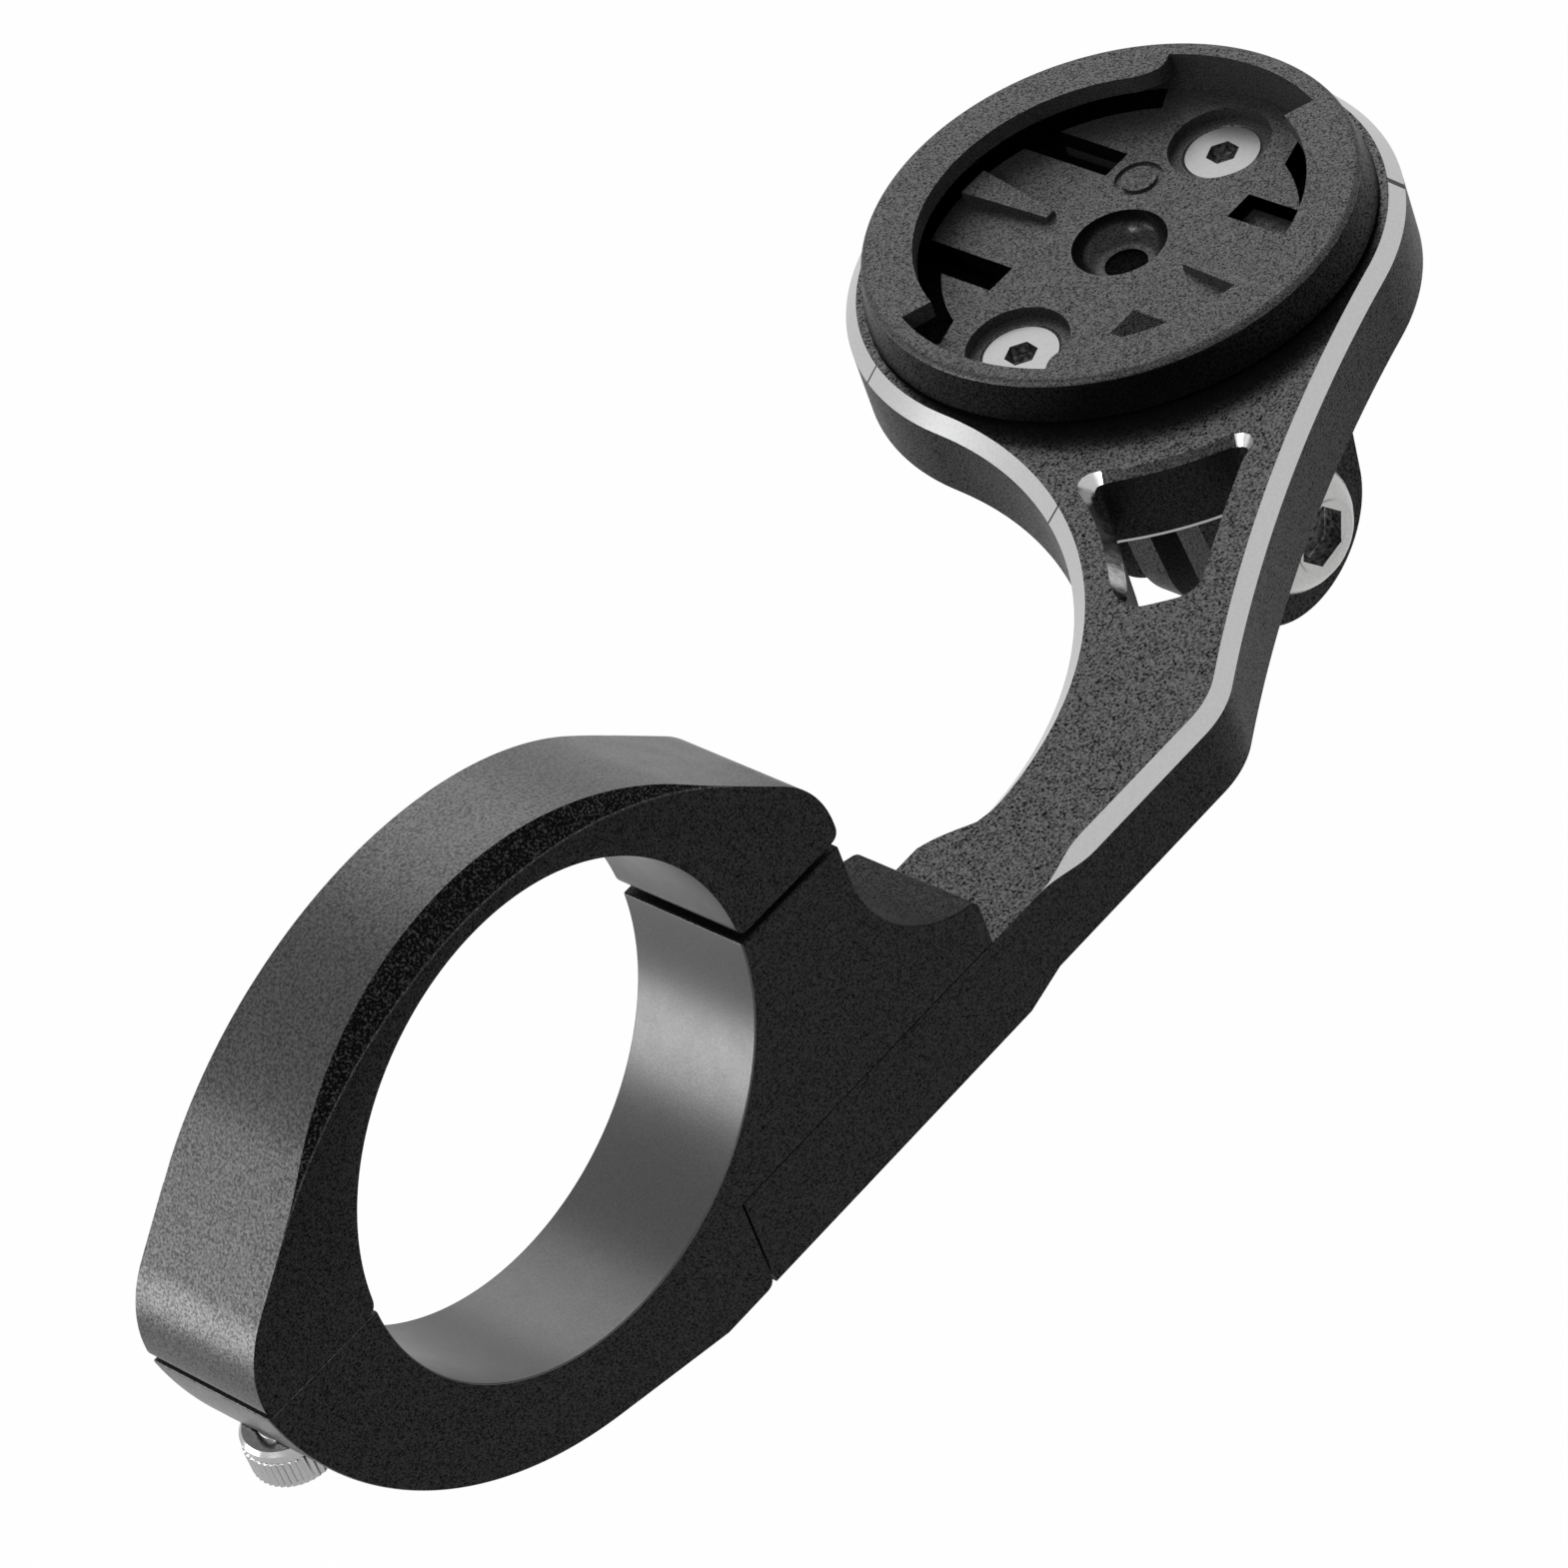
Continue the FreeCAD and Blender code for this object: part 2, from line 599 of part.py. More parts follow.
def make_arm():
    body = new_body("arm")
    half, top = val("half_width"), val("seat_level")
    head, head_radius = Vector(val("head_reach"), val("head_offset"), 0), val("head_radius")
    right = Vector(val("right_centre_x"), val("right_centre_y"), 0)
    left = Vector(val("left_centre_x"), val("left_centre_y"), 0)
    right_radius, left_radius = val("right_flank_radius"), val("left_flank_radius")
    bend_radius, start = val("bend_radius"), val("neck_start")
    bend_y = bend_radius - half
    bend_x = right.x - math.sqrt((right_radius + bend_radius) ** 2 - (bend_y - right.y) ** 2)
    bend = Vector(bend_x, bend_y, 0)

    plate = new_sketch(body, "ArmOutline", "XY_Plane", "Sizes.seat_level")
    add_line(plate, (start, -half), (bend.x, -half))
    add_arc(plate, (bend.x, bend.y), bend_radius, -math.pi / 2, bearing(bend, right))
    add_arc(plate, (right.x, right.y), right_radius, bearing(right, head), bearing(right, bend))
    add_arc(plate, (head.x, head.y), head_radius, bearing(head, right), bearing(head, left))
    add_arc(plate, (left.x, left.y), left_radius, -math.pi / 2, bearing(left, head))
    add_line(plate, (left.x, left.y - left_radius), (start, half))
    add_line(plate, (start, half), (start, -half))
    link(plate, [1, 2, -3, 4, -5, 6, 7], smooth=[0, 1, 2, 3])
    constrain(plate, "Horizontal", 0)
    constrain(plate, "Vertical", 6)
    pin(plate, 0, 1, "Sizes.neck_start", "-Sizes.half_width")
    pin(plate, 6, 1, None, "Sizes.half_width")
    pin(plate, 3, 3, "Sizes.head_reach", "Sizes.head_offset")
    pin(plate, 3, 1, "Sizes.head_reach + Sizes.right_flank_join")
    pin(plate, 4, 3, None, "Sizes.left_centre_y")
    pin(plate, 4, 1, "Sizes.left_centre_x")
    radius_of(plate, 1, "Sizes.bend_radius")
    radius_of(plate, 2, "Sizes.right_flank_radius")
    radius_of(plate, 3, "Sizes.head_radius")
    radius_of(plate, 4, "Sizes.left_flank_radius")
    slab = pad(body, "ArmPlate", plate, "Sizes.arm_thickness", down=True)
    bevel_edges(body, "TopBevel", slab,
                lambda edge, middle: near(middle.z, top) and not near(middle.x, start), "Sizes.arm_chamfer")

    foot = new_sketch(body, "ArmFoot", "XZ_Plane")
    polygon(foot, [("arm_rear", "seat_level"), ("arm_rear", "pad_under"), ("pad_end", "pad_under"),
                   ("neck_start", "arm_under"), ("neck_start", "seat_level")])
    solid = pad(body, "ArmFootPad", foot, "Sizes.clamp_width", both_ways=True)

    inner = head_radius + val("window_near")
    outer = head_radius + val("window_far")
    right_rib, left_rib = right_radius + val("rib"), left_radius + val("rib")
    near_right = crossing(head, inner, right, right_rib, -1)
    near_left = crossing(head, inner, left, left_rib, 1)
    far_left = crossing(head, outer, left, left_rib, 1)
    far_right = crossing(head, outer, right, right_rib, -1)
    window = new_sketch(body, "WindowOutline", "XY_Plane", "Sizes.seat_level")
    whole_turn = 2 * math.pi
    add_arc(window, (head.x, head.y), inner, bearing(head, near_left) % whole_turn,
            bearing(head, near_right) % whole_turn)
    add_arc(window, (left.x, left.y), left_rib, bearing(left, far_left), bearing(left, near_left))
    add_arc(window, (head.x, head.y), outer, bearing(head, far_left) % whole_turn,
            bearing(head, far_right) % whole_turn)
    add_arc(window, (right.x, right.y), right_rib, bearing(right, near_right), bearing(right, far_right))
    link(window, [-1, -2, 3, -4])
    for shape, centre in ((0, "head"), (1, "left"), (2, "head"), (3, "right")):
        if centre == "head":
            pin(window, shape, 3, "Sizes.head_reach", "Sizes.head_offset")
        else:
            pin(window, shape, 3, "Sizes.%s_centre_x" % centre, "Sizes.%s_centre_y" % centre)
    radius_of(window, 0, "Sizes.head_radius + Sizes.window_near")
    radius_of(window, 1, "Sizes.left_flank_radius + Sizes.rib")
    radius_of(window, 2, "Sizes.head_radius + Sizes.window_far")
    radius_of(window, 3, "Sizes.right_flank_radius + Sizes.rib")
    solid = pocket(body, "WindowCut", window)

    corners = [near_right, near_left, far_left, far_right]
    at_corner = lambda middle: any((Vector(middle.x, middle.y, 0) - spot).Length < 0.1 for spot in corners)
    round_edges(body, "WindowCorners", solid,
                lambda edge, middle: is_vertical(edge) and at_corner(middle), "Sizes.window_round")

    recess = new_sketch(body, "InsertRecess", "XY_Plane", "Sizes.seat_level")
    circle(recess, "recess_radius", "head_reach", "head_offset")
    pocket(body, "InsertRecessCut", recess, "Sizes.boss_depth")
    passes = new_sketch(body, "HeadHoles", "XY_Plane", "Sizes.seat_level")
    circle(passes, "screw_pass", "first_screw_x", "head_offset")
    circle(passes, "screw_pass", "second_screw_x", "head_offset")
    pocket(body, "HeadHolesCut", passes)
    foot_holes = new_sketch(body, "FootHoles", "XY_Plane", "Sizes.seat_level")
    sinks = new_sketch(body, "FootScrewSinks", "XY_Plane", "Sizes.pad_under + Sizes.head_sink")
    for reach in ("front_screw_reach", "arm_screw_reach"):
        circle(foot_holes, "screw_pass", reach)
        circle(sinks, "head_pass", reach)
    pocket(body, "FootHolesCut", foot_holes)
    pocket(body, "FootScrewSinksCut", sinks)
    return body


# Quarter-turn insert

def make_insert():
    body = new_body("insert")
    place(body, "Sizes.head_reach", "Sizes.head_offset")
    turned = new_sketch(body, "InsertProfile", "XZ_Plane")
    polygon(turned, [("0", "boss_bottom"), ("boss_radius", "boss_bottom"), ("boss_radius", "seat_level"),
                     ("flange_radius", "seat_level"), ("insert_top_radius", "rim_level"),
                     ("rim_edge", "insert_top"), ("lip_radius", "insert_top"),
                     ("lip_radius", "lip_bottom"), ("cavity_radius", "lip_bottom"),
                     ("cavity_radius", "insert_floor"), ("0", "insert_floor")])
    ring = feature(body, "Revolution", "InsertRing", turned)
    ring.ReferenceAxis = (turned, ["V_Axis"])
    ring.Angle = 360
    half_notch = math.radians(val("notch_half_angle"))
    notch_angle = "Sizes.notch_half_angle"

    def sector(sk, inner, outer, start, end):
        """A ring sector between two bearings, walked the long way round its outer arc first."""
        at = lambda radius, angle: (radius * math.cos(angle), radius * math.sin(angle))
        add_arc(sk, (0, 0), number(outer), start, end)
        add_line(sk, at(number(outer), end), at(number(inner), end))
        add_arc(sk, (0, 0), number(inner), start, end)
        add_line(sk, at(number(inner), start), at(number(outer), start))
        link(sk, [1, 2, -3, 4])
        radius_of(sk, 0, cell(outer))
        radius_of(sk, 2, cell(inner))
        pin(sk, 0, 3, "0", "0")
        pin(sk, 2, 3, "0", "0")

    def sector_ends(sk, outer, inner, angle, end_sign):
        """Ties the sector's corners to the bearing of its start; the far end is level or mirrored."""
        for shape, radius in ((0, outer), (2, inner)):
            across = "Sizes.%s * cos((%s) * 1deg)" % (radius, angle)
            pin(sk, shape, 1, across)
            pin(sk, shape, 2, end_sign + across)

    notch = new_sketch(body, "NotchOutline", "XY_Plane", "Sizes.insert_top")
    sector(notch, "counterbore_radius", "cavity_radius", -half_notch, half_notch)
    sector_ends(notch, "cavity_radius", "counterbore_radius", notch_angle, "")
    cuts = [pocket(body, "NotchCut", notch, "Sizes.cavity_depth")]

    # The mould opens through the floor below each lip, which also frees the spring tongue's end.
    opening_angle = notch_angle + " + Sizes.opening_margin"
    start = half_notch + math.radians(val("opening_margin"))
    opening = new_sketch(body, "LipOpening", "XY_Plane", "Sizes.insert_floor")
    sector(opening, "core_radius", "cavity_radius", start, math.pi - start)
    sector_ends(opening, "cavity_radius", "core_radius", opening_angle, "-")
    cuts.append(pocket(body, "LipOpeningCut", opening))

    slots = new_sketch(body, "TongueSlots", "XY_Plane", "Sizes.insert_floor")
    polygon(slots, [("slot_inner", "slot_start"), ("slot_outer", "slot_start"),
                    ("slot_outer", "slot_end"), ("slot_inner", "slot_end")])
    cuts.append(pocket(body, "TongueSlotRight", slots))
    slots = new_sketch(body, "TongueSlotsLeft", "XY_Plane", "Sizes.insert_floor")
    polygon(slots, [("-slot_outer", "slot_start"), ("-slot_inner", "slot_start"),
                    ("-slot_inner", "slot_end"), ("-slot_outer", "slot_end")])
    cuts.append(pocket(body, "TongueSlotLeft", slots))
    relief = new_sketch(body, "TongueRelief", "XY_Plane", "Sizes.boss_bottom")
    polygon(relief, [("-slot_outer", "slot_start"), ("slot_outer", "slot_start"),
                     ("slot_outer", "slot_end"), ("-slot_outer", "slot_end")])
    cuts.append(pocket(body, "TongueReliefCut", relief, "Sizes.tongue_relief", up=True))

    sink = new_sketch(body, "ScrewSink", "XZ_Plane")
    polygon(sink, [("insert_screw_reach", "insert_floor"), ("sink_edge", "insert_floor"),
                   ("sink_edge", "head_level"), ("flat_edge", "head_level"), ("pass_edge", "boss_bottom"),
                   ("insert_screw_reach", "boss_bottom")])
    axis_foot = Vector(val("insert_screw_reach"), val("boss_bottom"), 0)
    axis_top = Vector(val("insert_screw_reach"), val("insert_floor"), 0)
    axis = sink.addGeometry(Part.LineSegment(axis_foot, axis_top), True)
    pin(sink, axis, 1, "Sizes.insert_screw_reach", "Sizes.boss_bottom")
    pin(sink, axis, 2, "Sizes.insert_screw_reach", "Sizes.insert_floor")
    bored = feature(body, "Groove", "ScrewSinkCut", sink)
    bored.ReferenceAxis = (sink, ["Axis0"])
    bored.Angle = 360
    cuts.append(bored)

    # Each wedge rises outwards along its tongue, from a narrow tip to a wide root below the lip.
    ends = []
    for end, reach in (("tip", "-Sizes.wedge_start"), ("root", "-Sizes.wedge_end")):
        section = new_sketch(body, "Wedge" + end.capitalize(), "XZ_Plane", reach)
        polygon(section, [("-wedge_%s_foot" % end, "wedge_sink"), ("wedge_%s_foot" % end, "wedge_sink"),
                          ("wedge_%s_half" % end, "wedge_%s_level" % end),
                          ("-wedge_%s_half" % end, "wedge_%s_level" % end)])
        ends.append(section)
    doc.recompute()
    wedge = body.newObject("PartDesign::AdditiveLoft", "Wedge")
    wedge.Profile = ends[0]
    wedge.Sections = [ends[1]]
    wedge.Ruled = True
    cuts.append(wedge)

    doc.recompute()
    pair = body.newObject("PartDesign::PolarPattern", "SecondSide")
    pair.Originals = cuts
    pair.Axis = ([axis for axis in body.Origin.OriginFeatures if axis.Role == "Z_Axis"][0], [""])
    pair.Angle = 360
    pair.Occurrences = 2
    body.Tip = pair

    mouth = new_sketch(body, "CentreHole", "XZ_Plane")
    polygon(mouth, [("0", "insert_floor"), ("centre_mouth_radius", "insert_floor"),
                    ("centre_hole_radius", "mouth_bottom"), ("centre_hole_radius", "boss_bottom"),
                    ("0", "boss_bottom")])
    drilled = feature(body, "Groove", "CentreHoleCut", mouth)
    drilled.ReferenceAxis = (mouth, ["V_Axis"])
    drilled.Angle = 360
    return body


# Accessory lug: a round plate below the head and three rounded prongs in line

def make_lug():
    body = new_body("accessory_lug")
    place(body, "Sizes.lug_x", "Sizes.lug_y")
    disc = new_sketch(body, "LugPlate", "XY_Plane", "Sizes.arm_under")
    circle(disc, "lug_plate_radius")
    pad(body, "LugPlatePad", disc, "Sizes.lug_plate", down=True)
    level, root = val("bolt_level"), val("lug_root")
    radius, wide = val("prong_radius"), val("prong_root_half")
    reach = math.hypot(wide, root - level)
    lean = math.atan2(root - level, wide) - math.acos(radius / reach)
    touch = (radius * math.cos(lean), level + radius * math.sin(lean))
    # The sketch plane's normal points to the near side.
    for name, shift in (("Near", "Sizes.prong_pitch"), ("Middle", None), ("Far", "-Sizes.prong_pitch")):
        prong = new_sketch(body, name + "Prong", "XZ_Plane", shift)
        add_line(prong, (-wide, root), (-touch[0], touch[1]))
        add_arc(prong, (0, level), radius, math.pi - lean, 2 * math.pi + lean)
        add_line(prong, touch, (wide, root))
        add_line(prong, (wide, root), (-wide, root))
        link(prong, [1, 2, 3, 4], smooth=[0, 1])
        pin(prong, 1, 3, "0", "Sizes.bolt_level")
        radius_of(prong, 1, "Sizes.prong_radius")
        pin(prong, 0, 1, "-Sizes.prong_root_half", "Sizes.lug_root")
        pin(prong, 2, 2, "Sizes.prong_root_half", "Sizes.lug_root")
        pad(body, name + "ProngPad", prong, "Sizes.prong_thickness", both_ways=True)
    boss = new_sketch(body, "NutBoss", "XZ_Plane", "-Sizes.stack_half")
    circle(boss, "boss_round", "0", "bolt_level")
    pad(body, "NutBossPad", boss, "Sizes.nut_boss", down=True)
    bore = new_sketch(body, "BoltBore", "XZ_Plane")
    circle(bore, "bolt_pass", "0", "bolt_level")
    pocket(body, "BoltBoreCut", bore, both_ways=True)
    doc.recompute()
    socket = new_sketch(body, "NutSocket", "XZ_Plane", "-Sizes.stack_half - Sizes.nut_boss")
    hexagon(socket, "nut_socket_corner", "bolt_level")
    pocket(body, "NutSocketCut", socket, "Sizes.nut_socket_depth", up=True)
    taps = new_sketch(body, "LugTaps", "XY_Plane", "Sizes.arm_under")
    circle(taps, "screw_hole", "lug_tap_first", "lug_tap_side")
    circle(taps, "screw_hole", "lug_tap_second", "lug_tap_side")
    pocket(body, "LugTapsCut", taps)
    return body


def hexagon(sk, corner, level):
    """A regular hexagon round a point of the sketch's vertical axis, with two corners level with it."""
    radius, centre = number(corner), number(level)
    turns = [math.radians(60 * step) for step in range(6)]
    spots = [(radius * math.cos(turn), centre + radius * math.sin(turn)) for turn in turns]
    for step in range(6):
        add_line(sk, spots[step], spots[(step + 1) % 6])
    link(sk, [1, 2, 3, 4, 5, 6])
    for step in range(6):
        turn = "(%d * 1deg)" % (60 * step)
        pin(sk, step, 1, "%s * cos%s" % (cell(corner), turn),
            "%s + %s * sin%s" % (cell(level), cell(corner), turn))


# Screws, bolt and nut

def cylinder(name, radius, height, z="0"):
    made = doc.addObject("Part::Cylinder", name)
    bind(made, Radius=radius, Height=height)
    return place(made, z=z)


def prism(name, across_flats, height, z="0"):
    made = doc.addObject("Part::Prism", name)
    made.Polygon = 6
    bind(made, Circumradius="(%s) / sqrt(3)" % across_flats, Height=height)
    return place(made, z=z)


def boolean(kind, name, first, second):
    made = doc.addObject("Part::" + kind, name)
    made.Base = first
    made.Tool = second
    return made


def cap_screw(label, length):
    """Socket head cap screw along +Z with its head's bearing face at the origin."""
    head = cylinder(label + "_head", "Sizes.screw_head_radius", "Sizes.screw_head_height",
                    "-Sizes.screw_head_height")
    shank = cylinder(label + "_shank", "Sizes.screw_radius", length)
    screw = boolean("Fuse", label + "_blank", head, shank)
    socket = prism(label + "_socket", "Sizes.screw_hex", "Sizes.screw_hex_depth", "-Sizes.screw_head_height")
    return boolean("Cut", label, screw, socket)


def flat_screw(label, length):
    """Countersunk screw along -Z with its flat top at the origin."""
    cone = doc.addObject("Part::Cone", label + "_cone")
    bind(cone, Radius1="Sizes.screw_radius", Radius2="Sizes.flat_head_radius",
         Height="Sizes.flat_head_height")
    place(cone, z="-Sizes.flat_head_height")
    shank = cylinder(label + "_shank", "Sizes.screw_radius", length, "-(%s)" % length)
    screw = boolean("Fuse", label + "_blank", cone, shank)
    socket = prism(label + "_socket", "Sizes.flat_head_hex", "Sizes.flat_hex_depth", "-Sizes.flat_hex_depth")
    return boolean("Cut", label, screw, socket)


def make_bolt():
    """Button head bolt along +Y with its head's bearing face at the origin."""
    body = new_body("camera_bolt")
    place(body, "Sizes.lug_x", "Sizes.near_prong", "Sizes.bolt_level")
    profile = new_sketch(body, "BoltProfile", "XY_Plane")
    polygon(profile, [("0", "-bolt_head_height"), ("bolt_crown_radius", "-bolt_head_height"),
                      ("bolt_head_radius", "-bolt_head_rim"), ("bolt_head_radius", "0"),
                      ("bolt_radius", "0"), ("bolt_radius", "bolt_length"), ("0", "bolt_length")])
    turned = feature(body, "Revolution", "BoltTurned", profile)
    turned.ReferenceAxis = (profile, ["V_Axis"])
    turned.Angle = 360
    socket = new_sketch(body, "BoltSocket", "XZ_Plane", "Sizes.bolt_head_height")
    hexagon(socket, "bolt_hex_corner", "0")
    pocket(body, "BoltSocketCut", socket, "Sizes.bolt_hex_depth")
    return body


def camera_nut(label):
    """Hexagon nut along +Y with its inner face at the origin."""
    facing = Rotation(Vector(1, 0, 0), -90)
    block = doc.addObject("Part::Prism", label + "_block")
    block.Polygon = 6
    bind(block, Circumradius="Sizes.nut_width / sqrt(3)", Height="Sizes.nut_height")
    place(block, rotation=facing)
    thread = doc.addObject("Part::Cylinder", label + "_thread")
    bind(thread, Radius="Sizes.bolt_radius + Sizes.slip", Height="Sizes.nut_height")
    place(thread, rotation=facing)
    return boolean("Cut", label, block, thread)


def finish(obj, label, x="0", y="0", z="0"):
    """Gives a finished piece its name and its place in the assembly."""
    obj.Label = label
    place(obj, x, y, z)
    return obj


def make_fasteners():
    rear = finish(cap_screw("rear_screw", "Sizes.rear_screw_length"), "rear_clamp_screw",
                  "-Sizes.rear_screw_reach", "0", "Sizes.lug_seat")
    front = finish(cap_screw("front_screw", "Sizes.front_screw_length"), "front_clamp_screw",
                   "Sizes.front_screw_reach", "0", "Sizes.foot_screw_seat")
    arm_screw = finish(cap_screw("arm_screw_blank", "Sizes.arm_screw_length"), "arm_screw",
                       "Sizes.arm_screw_reach", "0", "Sizes.foot_screw_seat")
    first = finish(flat_screw("first_flat", "Sizes.insert_screw_length"), "insert_screw_front",
                   "Sizes.first_screw_x", "Sizes.head_offset", "Sizes.head_level")
    second = finish(flat_screw("second_flat", "Sizes.insert_screw_length"), "insert_screw_rear",
                    "Sizes.second_screw_x", "Sizes.head_offset", "Sizes.head_level")
    nut = finish(camera_nut("hex_nut"), "camera_nut", "Sizes.lug_x", "Sizes.nut_seat", "Sizes.bolt_level")
    return [rear, front, arm_screw, first, second, nut]


pieces = [make_cap(), make_base(), make_arm(), make_insert(), make_lug(), make_bolt()] + make_fasteners()
doc.recompute()

for obj in doc.Objects:
    if "Invalid" in obj.State or "Error" in obj.State:
        raise RuntimeError("%s did not rebuild" % obj.Label)
for piece in pieces:
    if piece.Shape.isNull() or not piece.Shape.isValid() or len(piece.Shape.Solids) != 1:
        raise RuntimeError("%s is not one sound solid" % piece.Label)
for piece in pieces:
    piece.Shape.exportStep("parts/%s.step" % piece.Label)
    box = piece.Shape.optimalBoundingBox()
    print("%-18s %9.1f mm3  x %.2f to %.2f  y %.2f to %.2f  z %.2f to %.2f" % (
        piece.Label, piece.Shape.Volume, box.XMin, box.XMax, box.YMin, box.YMax, box.ZMin, box.ZMax))
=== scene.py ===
import math

import bmesh
import bpy
from mathutils import Matrix, Vector

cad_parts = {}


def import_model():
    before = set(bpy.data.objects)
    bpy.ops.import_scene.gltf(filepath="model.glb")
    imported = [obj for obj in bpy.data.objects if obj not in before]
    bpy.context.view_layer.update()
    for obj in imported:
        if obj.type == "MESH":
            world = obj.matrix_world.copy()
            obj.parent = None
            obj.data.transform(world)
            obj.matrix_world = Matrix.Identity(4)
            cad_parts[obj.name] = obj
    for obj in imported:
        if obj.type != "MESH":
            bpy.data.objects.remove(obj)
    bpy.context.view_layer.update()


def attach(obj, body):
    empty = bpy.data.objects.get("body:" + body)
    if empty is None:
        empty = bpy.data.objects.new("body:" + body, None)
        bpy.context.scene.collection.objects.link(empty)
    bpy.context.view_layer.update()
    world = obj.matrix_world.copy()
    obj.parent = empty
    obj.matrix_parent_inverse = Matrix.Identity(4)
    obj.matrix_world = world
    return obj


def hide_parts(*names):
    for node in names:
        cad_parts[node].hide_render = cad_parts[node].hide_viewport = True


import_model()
MM = 0.001
SHARP_ANGLE = 30

# Sizes in millimetres and angles in degrees, as in the CAD source save for the crescents and the window

HALF_WIDTH = 4.9
BAR_RADIUS = 15.9
LUG_REACH = 25.0
CAP_BASE = 0.05
CROWN_RADIUS, CROWN_LEVEL = 24.1, -5.5
SHOULDER_RADIUS, SHOULDER_LEVEL = 7.0, 1.1
BEVEL_RADIUS, BEVEL_DROP, BEVEL_SLOPE = 28.4, 11.4, 1.1
CRESCENT_END = 19.4
BELLY_RADIUS, BELLY_CENTRE, BELLY_EXIT = 27.0, (1.519, 5.010), 12.5
TOE, SEAT = -23.35, -16.25
STEP, BLOCK_FRONT, BLOCK_NECK = 9.05, 32.7, 24.7
SCOOP_RADIUS, SCOOP_LEVEL = 9.5, -3.2
FRONT_SPLIT = 0.5
REAR_SCREW, FRONT_SCREW, ARM_SCREW = -21.8, 20.6, 28.4
LUG_SEAT = -5.9
ARM_UNDER, PAD_UNDER = -22.25, -23.2
ARM_REAR, PAD_END, NECK_START = 9.15, 33.55, 36.7
HEAD = Vector((86.6, 29.4))
HEAD_RADIUS = 19.1
RIGHT_CENTRE, RIGHT_RADIUS = Vector((129.082, -123.923)), 140.0
LEFT_CENTRE, LEFT_RADIUS = Vector((40.4, 30.608)), 27.108
BEND_RADIUS = 8.0
CHAMFER = 0.95
WINDOW_NEAR, WINDOW_FAR, RIGHT_RIB, LEFT_RIB = 23.0, 35.9, 3.25, 3.5
INSERT_TOP, INSERT_FLOOR, LIP_BOTTOM, BOSS_BOTTOM = -13.05, -16.05, -14.35, -18.15
LIP_RADIUS, CAVITY_RADIUS, CORE_RADIUS = 13.4, 15.6, 13.6
WELL_FLOOR = -16.9
LUG = Vector((86.2, 27.8))
BOLT_LEVEL = -38.25
LUG_SIDE, PRONG_PITCH, PRONG_HALF = 7.15, 5.8, 1.35
BOLT_HOLE, NUT_BOSS, NUT_HEIGHT = 2.55, 2.6, 4.0
SCREW_HOLE, THREAD_HOLE = 1.65, 1.55
SINK_RADIUS, SINK_SEAT = 2.95, -19.9
RECESS_RADIUS, INSERT_SCREW = 16.75, 10.8
SLOT_INNER, SLOT_OUTER, TONGUE_ROOT = 5.0, 7.4, 5.35


# Mesh helpers, in millimetres

def arc(centre, radius, start, end, step=2.0):
    """Points of an arc between two bearings in degrees, both ends included."""
    count = max(3, int(abs(end - start) / step) + 1)
    angles = [math.radians(start + (end - start) * i / (count - 1)) for i in range(count)]
    return [Vector((centre[0] + radius * math.cos(a), centre[1] + radius * math.sin(a))) for a in angles]


def bearing(centre, point):
    return math.degrees(math.atan2(point[1] - centre[1], point[0] - centre[0]))


def crossing(first, first_radius, second, second_radius, side):
    """Where two circles meet, on the left (1) or right (-1) of the line between their centres."""
    gap = second - first
    along = (first_radius ** 2 - second_radius ** 2 + gap.length ** 2) / (2 * gap.length)
    across = math.sqrt(first_radius ** 2 - along ** 2)
    unit = gap.normalized()
    return first + unit * along + Vector((-unit.y, unit.x)) * side * across


def walk(outline, index, distance, step):
    """The point at a distance along the closed outline from a corner, and the last index passed."""
    here, left = index, distance
    while True:
        following = (here + step) % len(outline)
        length = (outline[following] - outline[here]).length
        if length >= left:
            return outline[here].lerp(outline[following], left / length), here
        left -= length
        here = following


def round_corner(outline, spot, reach, steps=8):
    """Replaces the corner nearest a spot by a curve that starts and ends at a distance from it."""
    index = min(range(len(outline)), key=lambda i: (outline[i] - Vector(spot)).length)
    before, last_before = walk(outline, index, reach, -1)
    after, last_after = walk(outline, index, reach, 1)
    corner = outline[index]
    curve = []
    for i in range(steps + 1):
        t = i / steps
        curve.append(before * (1 - t) ** 2 + corner * 2 * t * (1 - t) + after * t ** 2)
    count = len(outline)
    first = (last_after + 1) % count
    kept = [outline[(first + i) % count] for i in range((last_before - 1 - first) % count + 1)]
    return kept + curve


def outward(outline):
    """The outward normal at each point of a closed outline that is walked anticlockwise."""
    normals = []
    for i, point in enumerate(outline):
        along = outline[(i + 1) % len(outline)] - outline[i - 1]
        normals.append(Vector((along.y, -along.x)).normalized())
    return normals


def anticlockwise(outline):
    area = sum(a.x * b.y - b.x * a.y for a, b in zip(outline, outline[1:] + outline[:1]))
    return outline if area > 0 else outline[::-1]


